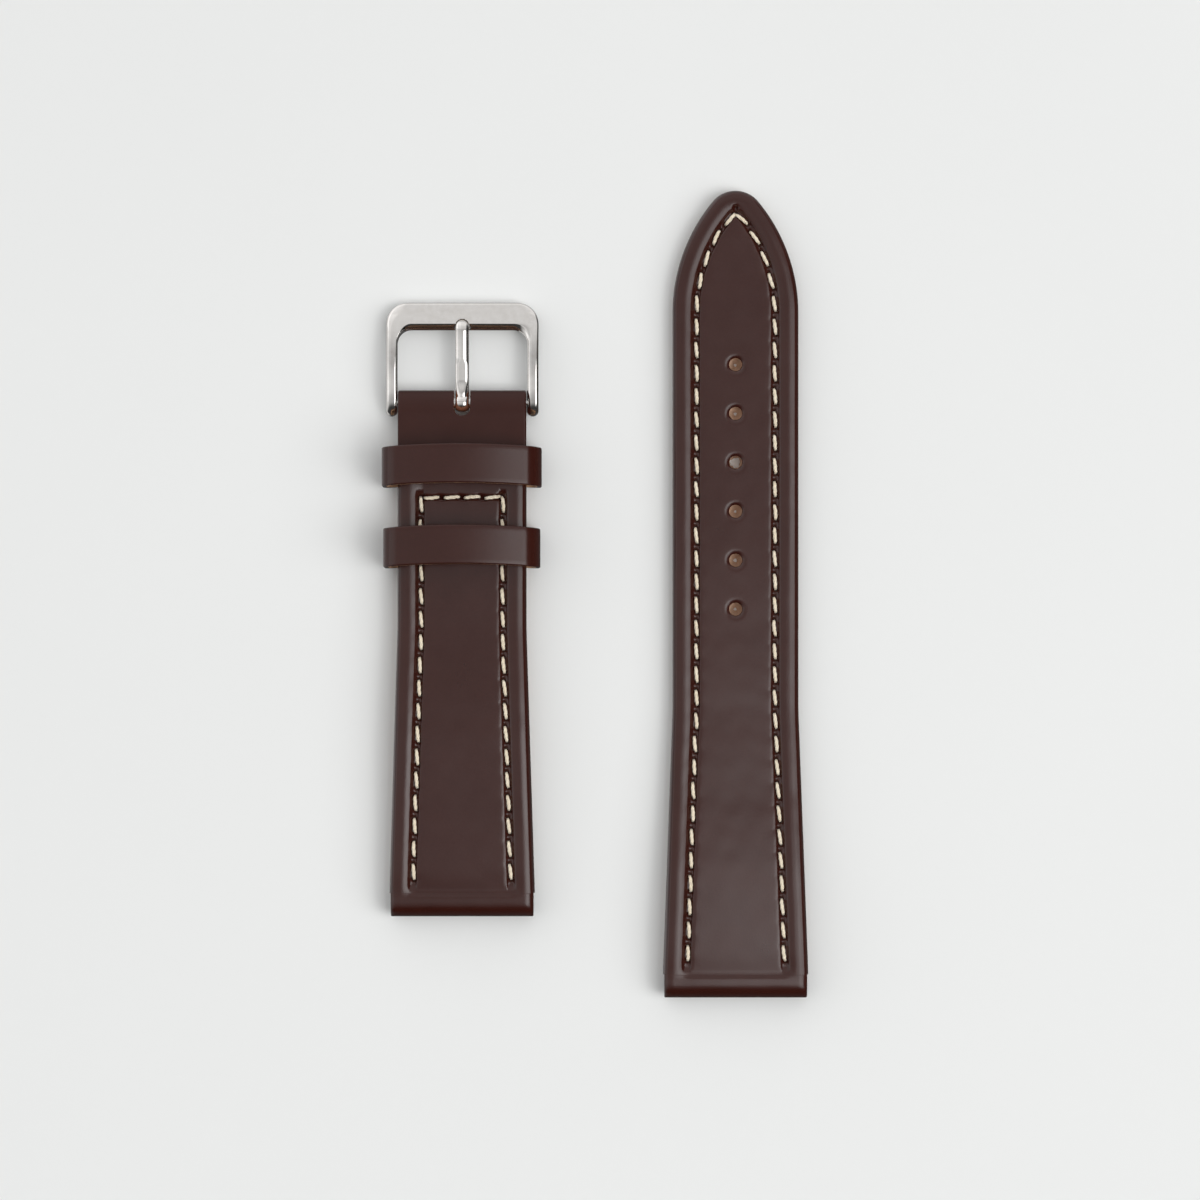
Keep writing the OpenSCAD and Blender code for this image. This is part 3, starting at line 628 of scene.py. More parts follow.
def plain_layer(half, sides, holes, rings, lips=None):
    """A layer under the outer leather. The last ring is its top's."""
    def height(k, x, y, edge=None):
        _, share, rise = rings[k]
        return half.base(y) + share * thick(y) + rise + 0 * x

    return layer(sides, rings, len(rings) - 1, height, columns_for(rings[-1][0], 2), holes,
                 height, lips)


FILLER_RINGS = [
    (flap_in, 0, lining_t + stay_t), (flap_in, 0, lining_t + flap_t),
    (side_t, 0, lining_t + flap_t), (side_t, 1, -upper_t - filler_rise),
    (crest_in + filler_rise, 1, -upper_t), (3.82, 1, -panel_up - upper_t)]
STAY_RINGS = [(flap_in, 0, lining_t), (flap_in, 0, lining_t + stay_t)]
LINING_RINGS = [
    (3.65, 0, 0), (3.65, 0, 0.425), (2.95, 0, 0.425), (2.95, 0, 0),
    (lining_inset + 0.3, 0, 0), (lining_inset + 0.13, 0, 0.03), (lining_inset + 0.04, 0, 0.1),
    (lining_inset, 0, 0.2), (lining_inset, 0, lining_t), (3.65, 0, lining_t)]


# ---- Seams

def seam_path(sides):
    """The stitch line of the right side, from the far end to the lug end."""
    x = sides[:, 0] - seam_in * sides[:, 2]
    y = sides[:, 1] - seam_in * sides[:, 3]
    return np.stack([x, y], 1)[::-1]


def stitch_row(path, first, last):
    """Stitches along a path from one distance from its start to another from its end."""
    seg = np.linalg.norm(np.diff(path, axis=0), axis=1)
    s = np.concatenate([[0], np.cumsum(seg)])
    run = s[-1] - first - last - stitch_len
    count = round(run / stitch_pitch)
    at = lambda v: np.array([np.interp(v, s, path[:, 0]), np.interp(v, s, path[:, 1])])
    return [(at(first + i * run / count), at(first + i * run / count + stitch_len))
            for i in range(count + 1)]


def mirrored(rows):
    return rows + [tuple(np.array([-p[0], p[1]]) for p in r) for r in rows]


# each stitch is turned a little, and laid of twisted strands
SLANT = math.radians(5.5)
STRANDS, LAY_PITCH = 3, 2.3
SAMPLES, SIDES = 26, 8


def stitches(rows, height, seed, strand_r, lay_r, dive):
    """Twisted thread: each stitch comes up from its hole, lies on the leather and goes down.
    dive: how far its ends go down, below 0 on the underside."""
    rng = np.random.default_rng(seed)
    mesh = Mesh()
    for a, b in rows:
        mid = (a + b) / 2
        v = b - a
        half_len = np.linalg.norm(v) / 2 + 0.06
        v = v / np.linalg.norm(v)
        side = np.array([-v[1], v[0]])
        t = np.linspace(-1, 1, SAMPLES)
        along = t * half_len
        sink = dive * np.clip((np.abs(t) - 0.72) / 0.28, 0, 1) ** 2
        z0, z1 = height(a), height(b)
        z = z0 + (z1 - z0) * (t + 1) / 2 - sink + 0.03 * (1 - t * t) * math.copysign(1, dive)
        bend = 0.04 * rng.normal() * (1 - t * t)
        phase = rng.uniform(0, 2 * math.pi)
        pinch = 1 - 0.4 * np.abs(t) ** 3
        q = 2 * math.pi * np.arange(SIDES) / SIDES
        round_it = np.stack([side[0] * np.cos(q), side[1] * np.cos(q), np.sin(q)], 1)
        for j in range(STRANDS):
            ang = phase + 2 * math.pi * (along / LAY_PITCH + j / STRANDS)
            out = bend + np.cos(ang) * lay_r * pinch
            core = np.stack([mid[0] + v[0] * along + side[0] * out,
                             mid[1] + v[1] * along + side[1] * out,
                             z + np.sin(ang) * lay_r * pinch], 1)
            mesh.rod([mesh.add(c + strand_r * p * round_it) for c, p in zip(core, pinch)])
    return mesh


# ---- Swept pieces

def normals(outline):
    """Normals of a closed outline, to the right of its direction."""
    tang = np.roll(outline, -1, 0) - np.roll(outline, 1, 0)
    out = np.stack([tang[:, 1], -tang[:, 0]], 1)
    return out / np.linalg.norm(out, axis=1)[:, None]


def turned_piece(prof, bore, width, edge_r, wobble=0.0, shape=None, fade=1.0):
    """A closed profile in y and z drawn across the strap, with rounded ends and a bore. The profile
    and the bore have the same number of points. fade: how far each point takes the rounding."""
    mesh = Mesh()
    norm = normals(prof)
    centre = prof.mean(0)
    if ((prof - centre) * norm).sum() < 0:
        norm = -norm
    ends = [edge_r * (1 - math.cos(a)) for a in np.radians(np.arange(0, 91, 15))]
    insets = [edge_r * (1 - math.sin(a)) for a in np.radians(np.arange(0, 91, 15))]
    half = width / 2
    stations = [(-half + e, i) for e, i in zip(ends, insets)]
    stations += [(x, 0.0) for x in np.linspace(-half + edge_r, half - edge_r, 121)[1:-1]]
    stations += [(half - e, i) for e, i in zip(ends[::-1], insets[::-1])]
    rings = []
    for x, inset in stations:
        p = prof - norm * inset * fade
        rough = wobble * unevenness(x, p[:, 0], 7.0)
        if shape:
            p = shape(x, p)
        rings.append(mesh.add([(x, y, z + dz) for (y, z), dz in zip(p, rough)]))
    near, far = (mesh.add([(x, *p) for p in bore]) for x in (-half, half))
    mesh.tube([near, *rings, far, near])
    return mesh


def resample(points, n):
    """n points evenly spread along a closed outline."""
    p = np.asarray(points, float)
    q = np.vstack([p, p[:1]])
    s = np.concatenate([[0], np.cumsum(np.linalg.norm(np.diff(q, axis=0), axis=1))])
    at = np.linspace(0, s[-1], n, endpoint=False)
    return np.stack([np.interp(at, s, q[:, 0]), np.interp(at, s, q[:, 1])], 1)


def facing_bore(profile, centre, r, even=1.0):
    """A circle of bore points, each facing its profile point. even: how evenly they are spread."""
    v = profile - np.array(centre)
    a = np.unwrap(np.arctan2(v[:, 1], v[:, 0]))
    b = np.linspace(a[0], a[0] + math.copysign(2 * math.pi, a[-1] - a[0]), len(a), endpoint=False)
    a = b * even + a * (1 - even)
    return np.stack([centre[0] + r * np.cos(a), centre[1] + r * np.sin(a)], 1)


def keeper_rings(w, h, low, depth, wall, y0):
    """One layer of a keeper: a strip with rounded edges swept round the keeper's outline.
    depth: how far inside the outline it starts."""
    mesh = Mesh()
    r, r_top = keeper_corner_r, 2.3

    def line(x0, z0, x1, z1, n):
        return np.linspace((x0, z0), (x1, z1), n, endpoint=False)

    left, right, high = -w / 2, w / 2, low + h
    pts = np.concatenate([
        line(left + r, low, right - r, low, 24),
        arc(right - r, low + r, r, -90, 0, 10, False),
        line(right, low + r, right, high - r_top, 6),
        arc(right - r_top, high - r_top, r_top, 0, 88, 18, False),
        line(right - r_top + 0.05, high, left + r_top - 0.05, high, 56),
        arc(left + r_top, high - r_top, r_top, 92, 180, 18, False),
        line(left, high - r_top, left, low + r, 6),
        arc(left + r, low + r, r, 180, 270, 10, False)])
    # the top is crowned and leans a little to the right
    crown = 0.17 - 0.0083 * pts[:, 0] ** 2 - 0.03 * pts[:, 0]
    pts[:, 1] += crown * np.clip((pts[:, 1] - low - r) / (h - 1.4 * r_top - r), 0, 1)
    nrm = normals(pts)
    e = min(0.2, wall * 0.45)
    strip = []
    for cy, cd, a0 in ((keeper_band - e, depth + e, -90), (keeper_band - e, depth + wall - e, 0),
                       (e, depth + wall - e, 90), (e, depth + e, 180)):
        strip += [*arc(cy, cd, e, a0, a0 + 90, 5)]
        if a0 in (0, 180):
            at = strip[-1][1]
            strip += [(cy + (keeper_band - 2 * cy) * k / 9, at) for k in range(1, 9)]
    rings = []
    for sy, sd in strip:
        x = pts[:, 0] - nrm[:, 0] * sd
        z = pts[:, 1] - nrm[:, 1] * sd
        # the band bows towards the lug end at its sides and below
        lean = (0.28 - 0.3 * np.minimum(np.abs(x) / (w / 2 - r), 1.15) ** 2
                - 0.25 * (1 - (z - low) / h))
        rings.append(mesh.add(np.stack([x, y0 + sy + lean + 0 * x, z], 1)))
    mesh.tube(rings + rings[:1])
    return mesh


# ---- The two halves

LONG = (long_x, long_y, 0.0)
SHORT = (short_x, short_y, 0.0)
AT_BAR = (short_x, short_y + bar_y, bar_z)
# spacing of the stations along the outer leather, and along what lies under it
PITCH, UNDER_PITCH = 0.18, 0.5


def rotated_rows(rows, seed):
    """Each stitch lies turned a little against its seam."""
    rng = np.random.default_rng(seed)
    out = []
    for a, b in rows:
        mid, v = (a + b) / 2, (b - a) / 2
        t = SLANT + rng.normal(0, 0.022)
        v = np.array([v[0] * math.cos(t) - v[1] * math.sin(t),
                      v[0] * math.sin(t) + v[1] * math.cos(t)]) * (1 + rng.normal(0, 0.02))
        out.append((mid - v, mid + v))
    return out


def flat(y):
    return 0.0 * y


long_sides = long_stations(notch_y, PITCH)
short_sides = short_stations(notch_y, body_end, PITCH)
seam_long = mirrored(stitch_row(seam_path(long_stations(notch_y, UNDER_PITCH)), 0.02, seam_stop))
seam_short = mirrored(stitch_row(seam_path(short_stations(notch_y, row_y, UNDER_PITCH)),
                                 stitch_pitch - stitch_len, seam_stop))
row_half = buckle_half_w / 2 - seam_in
ROW_COUNT = 4
row_run = 2 * row_half / ROW_COUNT
cross_row = [tuple(np.array([-row_half + (i + 0.5 + end) * row_run, row_y])
                   for end in (-0.38, 0.38)) for i in range(ROW_COUNT)]
top_long = rotated_rows(seam_long, 11)
top_short = rotated_rows(seam_short + cross_row, 12)

long_half = Half(flat, long_len, top_long, dimple=long_len - 2.45, punched=hole_ys)
short_half = Half(lifting, row_y + 0.35, top_short, row=row_half)

for prefix, half, sides, place, holes in (("long", long_half, long_sides, LONG, hole_ys),
                                          ("short", short_half, short_sides, SHORT, [])):
    piece = upper_layer(half, sides, holes).make(f"{prefix}_upper_body", place, [outer, raw_edge])
    dress(piece, f"{prefix}_strap", "outer_leather", f"{prefix}_upper")

# the punch leaves a ragged lip of lining in each hole, least in the third one from the tip
LIPS = [0.2, 0.24, 0.18, 0.7, 0.22, 0.2]
for name, rings, first, last, mats, slot_name, lips in (
        ("filler", FILLER_RINGS, notch_y + 1, body_end - 1, [filler] * 2, "filler_board", None),
        ("stay", STAY_RINGS, notch_y + 1, body_end - 1, [stay] * 2, "stay_tape", None),
        ("lining", LINING_RINGS, notch_y, body_end, [lining_tan, punched_edge],
         "lining_leather", LIPS)):
    piece = plain_layer(long_half, long_stations(first, UNDER_PITCH), hole_ys, rings, lips).make(
        f"long_{name}_sheet", LONG, mats)
    dress(piece, "long_strap", slot_name, f"long_{name}")
    piece = plain_layer(short_half, short_stations(first, last, UNDER_PITCH), [], rings).make(
        f"short_{name}_sheet", SHORT, mats)
    dress(piece, "short_strap", slot_name, f"short_{name}")


def top_thread_height(half):
    return lambda p: float(half.top(p[0], p[1], seam_in, plain=True)) + 0.16


def bobbin_height(half):
    return lambda p: float(half.base(p[1])) + 0.215


for prefix, half, rows, base_rows, place in (
        ("long", long_half, top_long, seam_long, LONG),
        ("short", short_half, top_short, seam_short + cross_row, SHORT)):
    piece = stitches(rows, top_thread_height(half), 3, 0.165, 0.1, 0.55).make(
        f"{prefix}_top_stitches", place, [cream], 70, 0)
    dress(piece, f"{prefix}_strap", "thread", f"{prefix}_top_thread")
    piece = stitches(base_rows, bobbin_height(half), 4, 0.115, 0.085, -0.25).make(
        f"{prefix}_bobbin_stitches", place, [cream], 70, 0)
    dress(piece, f"{prefix}_strap", "thread", f"{prefix}_bobbin_thread")


# ---- Rolled lug ends

def lug_profile():
    """The rolled end in y and z: over the top, round the nose and back above the lining."""
    ys = [*np.linspace(3.3, NOSE_IN, 12),
          *(NOSE_IN * (1 - np.sin(np.radians(np.linspace(3, 90, 34)))))]
    top = [(4.3, 2.9), (3.9, 3.3)] + [(y, float(end_top(y))) for y in ys]
    low = [(3.25 - 3.25 * math.cos(a), NOSE_Z - 1.6 * math.sin(a) ** 0.92)
           for a in np.linspace(0.04, math.pi / 2, 26)]
    back = [(3.27, 0.84), (4.3, 0.86)]
    return resample(top + low + back, 170)


def make_lug_end(prefix, half, place):
    prof = lug_profile()
    bore = facing_bore(prof, (1.6, NOSE_Z), lug_bore_r)

    def shape(x, p):
        """The rims run on over the roll, and its sides are rounded like theirs."""
        y, z = p.T
        d = lug_w / 2 - abs(x)
        relief = half.top(x + 0 * y, y, d + 0 * y, plain=True) - end_top(y)
        relief = relief * (z > NOSE_Z + 1.2) * step(y, 0.4, 1.6)
        u = np.clip((crest_in - d + 0.1) / crest_in, 0, 1)
        full = 0.55 + 0.45 * (1 - u ** 2.5) ** 0.4
        under = 0.8 + 0.2 * math.sqrt(1 - np.clip((0.5 - d) / 0.5, 0, 1) ** 2)
        up = NOSE_Z + (z - NOSE_Z + relief) * full
        return np.stack([y, np.where(z > NOSE_Z, up, NOSE_Z + (z - NOSE_Z) * under)], 1)

    piece = turned_piece(prof, bore, roll_w, 0.12, shape=shape).make(
        f"{prefix}_lug_roll", place, [outer])
    dress(piece, f"{prefix}_strap", "outer_leather", f"{prefix}_upper")


make_lug_end("long", long_half, LONG)
make_lug_end("short", short_half, SHORT)


# ---- Fold round the spring bar

def fold_profile():
    """The fold in y and z: from inside the body over the bar and back under the body."""
    flat_z = lift + tail_t - panel_up
    # how far its top bulges, and where it turns down
    bulge, bend_y = 0.17, 69.6
    pts = [(body_end - 1, flat_z - 0.45), (body_end - 0.2, flat_z - 0.1)]
    pts += [(y, flat_z + bulge * (1 - float(step(y, 64.0, bend_y))))
            for y in np.linspace(body_end + 0.2, bend_y - 0.2, 20)]
    back = bar_y + fold_r - bend_y
    pts += [(bend_y + back * math.sin(a), bar_z + (flat_z - bar_z) * math.cos(a) ** 0.92)
            for a in np.radians(np.linspace(2, 90, 36))]
    pts += [*arc(bar_y, bar_z, fold_r, -3, -97, 32)]
    pts += [(y, lift + (bar_z - fold_r - lift) * float(step(y, 66.5, bar_y)))
            for y in np.linspace(bar_y - 0.5, body_end + 2.4, 16)]
    pts += [(body_end + 0.06, lift + 0.02), (body_end + 0.05, lift + 0.84),
            (body_end - 1, lift + 0.86)]
    return resample(pts, 190)


prof = fold_profile()
bore = facing_bore(prof, (bar_y, bar_z), fold_bore_r, 0.12)
fold = turned_piece(prof, bore, fold_w, 0.26, 0.03, fade=step(prof[:, :1], 64.2, 65.4)).make(
    "short_fold", SHORT, [fold_leather, slot_edge])

# the tongue's slot, open at the bar and round at its other end
cutter = Mesh()
slot_r = slot_w / 2
ring = [(-slot_r, short_len + 1), *arc(0, slot_end + slot_r, slot_r, 180, 360, 25),
        (slot_r, short_len + 1)]
cutter.rod([cutter.add([(x, y, z) for x, y in ring]) for z in (-1, 7)])
blade = cutter.make("slot_blade", SHORT, [slot_edge])
cut = fold.modifiers.new("slot", "BOOLEAN")
cut.operation, cut.solver, cut.object = "DIFFERENCE", "EXACT", blade
cut.material_mode = "TRANSFER"
with bpy.context.temp_override(object=fold, active_object=fold, selected_objects=[fold]):
    bpy.ops.object.modifier_apply(modifier="slot")
bpy.data.objects.remove(blade)
dress(fold, "short_strap", "outer_leather", "short_upper")


# ---- Keepers

frame_in_w = 18.0
walls = 2 * (keeper_t + keeper_lining_t)
for name, room, low, high, y0, owner in (
        ("fixed_keeper", 2.1, 0.3, 7.3, fixed_keeper_y, "short_strap"),
        ("free_keeper", 1.7, 0.0, 7.6, free_keeper_y, "free_keeper")):
    w = frame_in_w + room + walls
    for part, depth, wall, mat, slot_name in (
            ("", 0.0, keeper_t, keeper_outer, "keeper_leather"),
            ("_lining", keeper_t, keeper_lining_t, lining_tan, "lining_leather")):
        piece = keeper_rings(w, high, low, depth, wall, y0).make(
            name + part + "_loop", SHORT, [mat])
        dress(piece, owner, slot_name, name + part)


# ---- Buckle frame and tongue

arm_w, frame_len, arm_behind, front_bar, frame_t = 1.6, 13.9, 1.9, 3.8, 1.7
frame_nose = 2.1
arch_r, frame_drop, corner_out_r, corner_in_r = 40.0, 1.0, 3.0, 2.0
chord = math.hypot(frame_len, frame_drop)
droop = math.atan2(frame_drop, frame_len)
arch_dist = math.sqrt(arch_r ** 2 - chord ** 2 / 4)
arch_c = (frame_len / 2 - arch_dist * math.sin(droop),
          -frame_drop / 2 - arch_dist * math.cos(droop))
# the notch in the front bar: half width, where its round end starts and its length, its depth
NOTCH_HALF, NOTCH_FROM, NOTCH_LEN, NOTCH_D = 0.93, 10.1, 1.45, 0.35


def arch_mid(y):
    return arch_c[1] + np.sqrt(arch_r ** 2 - (y - arch_c[0]) ** 2)


def round_off(y, start, length, power):
    """Falls from 1 at start to 0 a length further on, ever more steeply."""
    return math.sqrt(max(0.0, 1 - max(0.0, (y - start) / length) ** power))


def frame_rows():
    """Outer point, inner point and share of the front bar's section along the frame, from the
    right arm's rear end round to the left arm's."""
    half_out, half_in = frame_in_w / 2 + arm_w, frame_in_w / 2
    ox, oy = half_out - corner_out_r, frame_len - corner_out_r
    far_in = frame_len - front_bar
    ix, iy = half_in - corner_in_r, far_in - corner_in_r
    rows, arm_r = [], arm_w / 2
    for a in np.radians(np.linspace(0, 90, 22)):
        y = -arm_behind + frame_nose * (1 - math.cos(a))
        x = arm_r - math.sqrt(max(arm_r ** 2 - max(0.0, arm_r - arm_behind - y) ** 2, 0.0))
        rows.append((half_out - x, y, half_in + x, y, 0.0))
    for y in np.linspace(0.2, 4.0, 24)[1:]:
        rows.append((half_out, y, half_in, y, 0.0))
    for t in np.linspace(0, 1, 16)[1:]:
        rows.append((half_out, 4.0 + (oy - 4.0) * t, half_in, 4.0 + (iy - 4.0) * t, 0.0))
    for t in np.linspace(0, 1, 22)[1:]:
        c, d = math.cos(math.pi / 2 * t), math.sin(math.pi / 2 * t)
        rows.append((ox + corner_out_r * c, oy + corner_out_r * d,
                     ix + corner_in_r * c, iy + corner_in_r * d, float(step(t, 0.25, 1))))
    for t in (*np.linspace(0, 0.84, 24)[1:], *np.linspace(0.86, 1, 14)):
        rows.append((ox * (1 - t), frame_len, ix * (1 - t), far_in, 1.0))
    return rows + [(-a, b, -c, d, share) for a, b, c, d, share in rows[-2::-1]]


def frame_mesh():
    """The frame: arms bent along an arch, drawn down and round at their rear ends."""
    far = NOTCH_FROM + NOTCH_LEN
    mesh = Mesh()
    rings = []
    for ox, oy, ix, iy, share in frame_rows():
        w = math.hypot(ix - ox, iy - oy)
        ex, ey = ((ix - ox) / w, (iy - oy) / w) if w > 1e-6 else (0, 0)
        pts = []
        for arm, bar in zip(arm_section(w, ox > -1e-9), bar_section(w)):
            u, v = (p * (1 - share) + q * share for p, q in zip(arm, bar))
            x, y = ox + ex * u, oy + ey * u
            mid = arch_mid(y) - 0.4 * max(0.0, (3.0 - y) / 4.9) ** 2
            z = mid + frame_t / 2 + v
            q = (y + arm_behind) / frame_nose
            if q < 1:
                k = math.sqrt(max(0.0, 1 - (1 - q) ** 2))
                z = mid + (z - mid) * (k if z > mid else k ** 0.5)
            if v > -frame_t / 2:
                # the notch, which the tongue's tip fills
                reach = NOTCH_HALF * round_off(y, NOTCH_FROM, NOTCH_LEN, 2.3)
                dent = 1 - float(step(abs(x) - reach, -0.06, 0.2))
                dent *= 1 - float(step(y, far - 0.1, far + 0.05))
                z -= NOTCH_D * dent * min(1.0, (v + frame_t / 2) / (frame_t / 2))
            pts.append((x, y, z))
        rings.append(mesh.add(pts))
    mesh.rod(rings)
    return mesh


def under_section(w):
    """The flat underside with softened corners."""
    r = 0.3
    out = [(w - r * (1 - math.cos(a)), -frame_t + r * (1 - math.sin(a)))
           for a in np.radians((15, 45, 75))]
    return out + [(w - p, v) for p, v in out[::-1]]


def arm_section(w, right):
    """A side arm: round on its left, flat with a rounded edge on its right, as in the photo.
    Points run from the outer side over the top. right: whether it is the right arm."""
    edge, r, power = 0.42, w / 2, 2 / 2.4
    out = [(r - r * abs(math.cos(a)) ** power, frame_t / 2 * (math.sin(a) ** power - 1))
           for a in np.radians(np.linspace(180, 90, 18)[:-1])]
    out += [(r, 0.0), (r + 0.12, 0.0)]
    out += [(w - edge + edge * math.sin(a), -edge * (1 - math.cos(a)))
            for a in np.radians(np.linspace(0, 90, 15))]
    if right:
        out = [(w - u, v) for u, v in out[::-1]]
    return out + under_section(w)


def bar_section(w):
    """The front bar: a flat face with a round bevel along its inner edge."""
    r, bevel = 0.3, 0.85
    out = [(r * (1 - math.cos(a)), -r * (1 - math.sin(a)))
           for a in np.radians(np.linspace(0, 90, 8))]
    edge = w - bevel
    out += [(r + (edge - r) * t, 0.0)
            for t in (0.03, 0.25, 0.44, 0.5, 0.56, 0.62, 0.68, 0.74, 0.8, 0.86, 0.92, 0.96, 0.99)]
    out += [(edge + bevel * t, -bevel * (t * 0.9 + 0.1 * t * t)) for t in np.linspace(0, 1, 11)]
    out += [(w, -bevel - 0.08), (w, -bevel - 0.3)]
    return out + under_section(w)


piece = frame_mesh().make("buckle_frame_steel", AT_BAR, [polished], 24)
dress(piece, "buckle_frame", "polished_steel", "buckle_frame")

tongue_w, tongue_t, tongue_len, tongue_r = 1.87, 1.0, 11.9, 60.0
notch_floor = float(arch_mid(tongue_len + 0.1)) + frame_t / 2 - 0.175
tongue_rise = notch_floor + 0.05 + tongue_t / 2
tongue_chord = math.hypot(tongue_len, tongue_rise)
tongue_tilt = math.atan2(tongue_rise, tongue_len)
tongue_dist = math.sqrt(tongue_r ** 2 - tongue_chord ** 2 / 4)
tongue_c = (tongue_len / 2 + tongue_dist * math.sin(tongue_tilt),
            tongue_rise / 2 - tongue_dist * math.cos(tongue_tilt))


def tongue_mesh():
    """The blade: a rounded crown over a flat underside, thicker where it meets its eye."""
    mesh = Mesh()
    rings = []
    near, tip = 0.75, 1.4
    # its round tip stops a little short of the solid's, in the notch
    tip_y = tongue_len - 0.4 - tip
    for y in (*np.linspace(near, tip_y, 48),
              *(tip_y + tip * np.sin(np.radians(np.linspace(0, 90, 14)[1:])))):
        side = max(0.1, round_off(y, tip_y, tip, 2.3))
        crown = max(0.08, round_off(y, tip_y, tip, 1.7))
        mid = tongue_c[1] + math.sqrt(tongue_r ** 2 - (y - tongue_c[0]) ** 2)
        swell = 0.48 * (1 - float(step(y, near, 3.4)))
        round_top = 2.1 + 1.6 * float(step(y, 1.2, 3.6)) * (1 - float(step(y, 5.0, 6.2)))
        pts = []
        for a in np.radians(np.linspace(0, 360, 48, endpoint=False)):
            c, d = math.cos(a), math.sin(a)
            power = 2 / round_top if d > 0 else 2 / 5
            u, v = math.copysign(abs(c) ** power, c), math.copysign(abs(d) ** power, d)
            up = tongue_t / 2 + (swell if v > 0 else 0)
            z = (v * up + tongue_t / 2) * crown - tongue_t / 2
            pts.append((tongue_w / 2 * side * u, y, mid + z))
        rings.append(mesh.add(pts))
    mesh.rod(rings)
    return mesh


piece = tongue_mesh().make("buckle_tongue_blade", AT_BAR, [polished], 45)
dress(piece, "buckle_tongue", "polished_steel", "buckle_tongue")
EYE_R, EYE_BORE_R = 1.3, 0.8
circle = arc(0, 0, EYE_R, 0, 360, 96, False)


def barrel(x, p):
    """The eye is thickest in its middle."""
    return p * (1 - 0.26 * abs(2 * x / tongue_w) ** 2.6)


bore = facing_bore(circle, (0, 0), EYE_BORE_R)
eye = turned_piece(circle, bore, tongue_w, 0.12, shape=barrel).make(
    "buckle_tongue_eye", AT_BAR, [polished], 45)
dress(eye, "buckle_tongue", "polished_steel", "buckle_tongue")

for name in ("spring_bar_tube", "spring_bar_tip_left", "spring_bar_tip_right", "spring_bar_spring"):
    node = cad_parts[name]
    if not node.material_slots:
        node.data.materials.append(drawn)
    for ms in node.material_slots:
        ms.material = drawn


# ---- Studio

FLOOR_Z, FLOOR_HALF = -0.05, 4000.0
floor_mesh = Mesh()
floor_mesh.face(floor_mesh.add([(x * FLOOR_HALF, y * FLOOR_HALF, FLOOR_Z)
                                for x, y in ((-1, -1), (1, -1), (1, 1), (-1, 1))]))
paper = Nodes("paper", 0.9)
paper.finish(paper.mix(paper.noise(0.02, 2), (233, 234, 233), (235, 236, 235)))
floor = floor_mesh.make("paper_floor", (0, 0, 0), [paper.mat], 50, 0)
floor.visible_glossy = False

CENTRE_X = (PHOTO_SIDE / 2 - PHOTO_ORIGIN[0]) / PX_PER_MM
CENTRE_Y = (PHOTO_ORIGIN[1] - PHOTO_SIDE / 2) / PX_PER_MM
cam_data = bpy.data.cameras.new("camera")
cam = link("camera", cam_data)
cam.location = (CENTRE_X * MM, CENTRE_Y * MM, (CAMERA_UP + AIM_Z) * MM)
cam_data.sensor_width = 36
cam_data.lens = 36 * CAMERA_UP / (PHOTO_SIDE / PX_PER_MM)
cam_data.clip_start, cam_data.clip_end = 0.01, 20
scene.camera = cam


def lamp(name, place, aim, size, radiance, glossy, diffuse):
    """A softbox at a place, facing another, seen only by the named kinds of rays."""
    data = bpy.data.lights.new(name, "AREA")
    data.shape = "RECTANGLE"
    data.size, data.size_y = size
    data.energy = radiance * math.pi * size[0] * size[1]
    obj = link(name, data)
    obj.location = place
    obj.rotation_euler = (Vector(aim) - Vector(place)).to_track_quat("-Z", "Y").to_euler()
    obj.visible_glossy, obj.visible_diffuse = glossy, diffuse
    obj.visible_transmission = obj.visible_volume_scatter = False
    obj.visible_camera = False


lamp("key", (1.64, -0.44, 1.4), (0, 0, 0), (1.5, 1.5), 3.3, False, True)
lamp("top", (0, 0, 2.0), (0, 0, 0), (2.0, 2.0), 0.12, False, True)
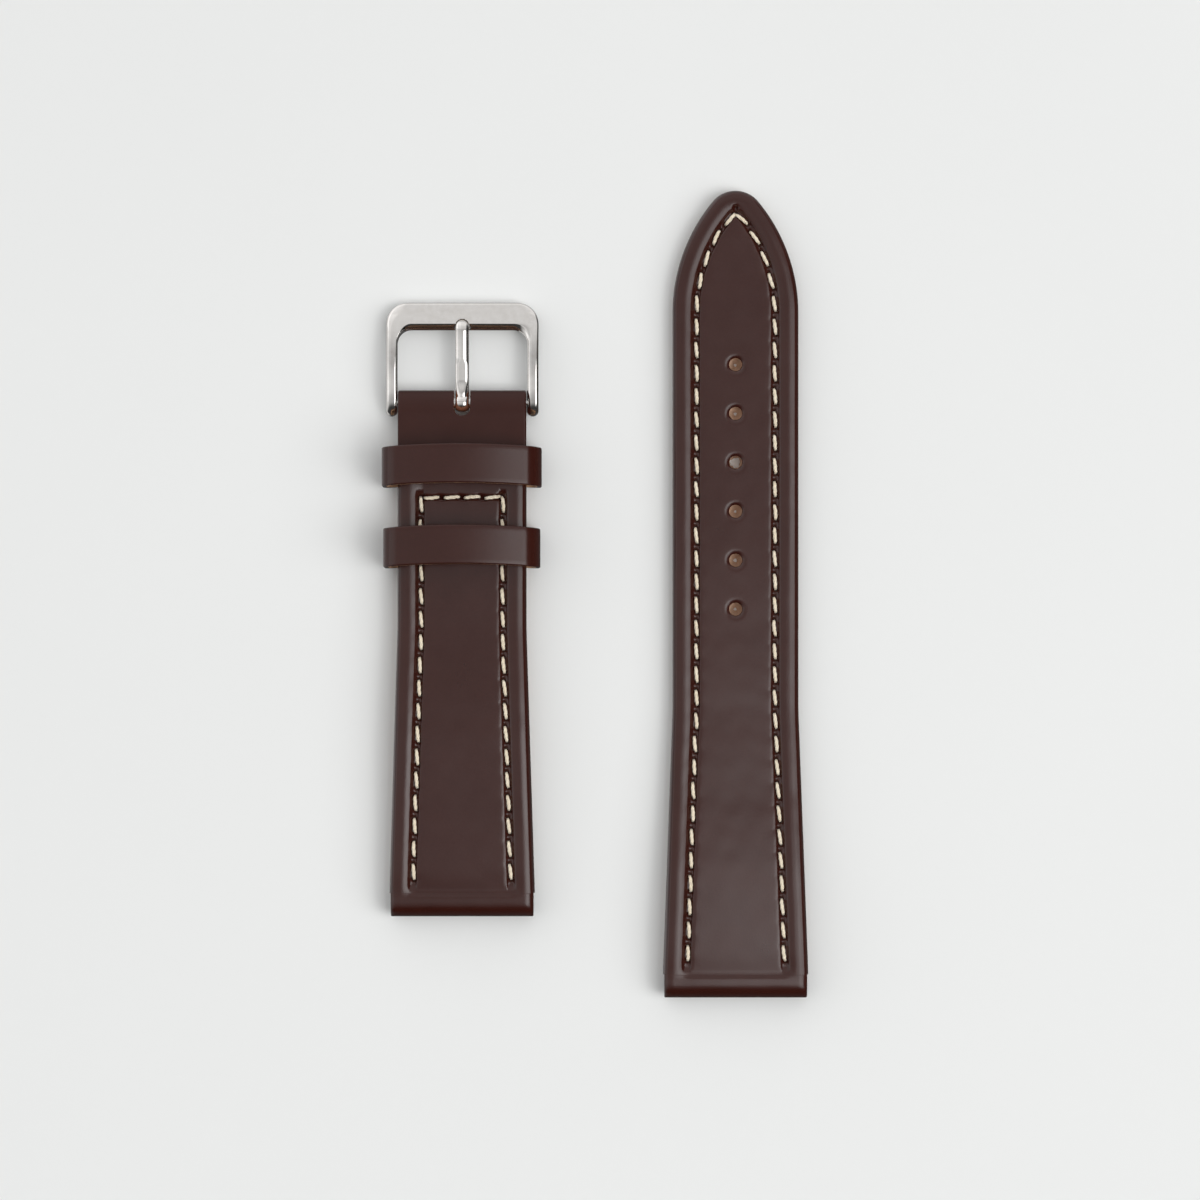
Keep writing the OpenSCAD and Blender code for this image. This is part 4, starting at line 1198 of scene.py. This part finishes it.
# the low softbox whose reflection lies over the lower part of the holed half
BOX_UP = 0.2
lamp("low_box", (0.27 * BOX_UP, -0.35 * BOX_UP, BOX_UP), (0.27 * BOX_UP, -0.35 * BOX_UP, 0),
     (0.44 * BOX_UP, 0.58 * BOX_UP), 1.3, True, False)

world = bpy.data.worlds.new("studio")
scene.world = world
world.use_nodes = True
sky = Graph(world.node_tree, "Generated")
parts = sky.node("ShaderNodeSeparateXYZ", {0: sky.coord})
dx, dy, dz = (parts[k] for k in "XYZ")


def ramp(*value_and_range):
    """A smooth rise or fall."""
    return sky.ranged(*value_and_range, "SMOOTHSTEP")


def times(a, b):
    return sky.math("MULTIPLY", a, b)


def plus(a, b):
    return sky.math("ADD", a, b)


# brightness overhead by direction: from left to right, then from near to far
over = plus(ramp(dx, -0.12, -0.24, 0.6, 0.7), ramp(dx, -0.55, -0.8, 0.0, 0.35))
over = times(over, ramp(dx, 0.55, 0.75, 1.0, 0.08))
dip = plus(ramp(dy, -0.01, 0.12, 1.1, 0.8), ramp(dy, 0.16, 0.38, 0.0, 0.45))
over = times(over, plus(dip, ramp(dy, 0.5, 0.8, 0.0, 0.3)))
over = times(over, times(ramp(dy, -0.12, -0.32, 1.0, 0.6), ramp(dy, -0.35, -0.7, 1.0, 0.1)))
# a bright field on the right
field = times(ramp(dx, 0.11, 0.3, 0.0, 2.3), ramp(dx, 0.58, 0.68, 1.0, 0.0))
field = times(field, times(ramp(dy, 0.07, 0.13, 1.0, 0.0), ramp(dy, -0.4, -0.55, 1.0, 0.0)))
# what a glossy side sees below the horizon, where the floor is left out of reflections
below = plus(ramp(dx, -0.1, -0.6, 0.1, 0.6), ramp(dy, 0.3, 0.7, 0.0, 0.5))
light = plus(times(plus(over, field), ramp(dz, 0, 0.05, 0, 1)),
             times(ramp(dz, 0, 0.05, 1, 0), below))
sky.put(world.node_tree.nodes["Background"], {"Color": (1.0, 1.0, 1.0, 1.0), "Strength": light})

scene.view_settings.view_transform = "Standard"

bpy.context.view_layer.update()
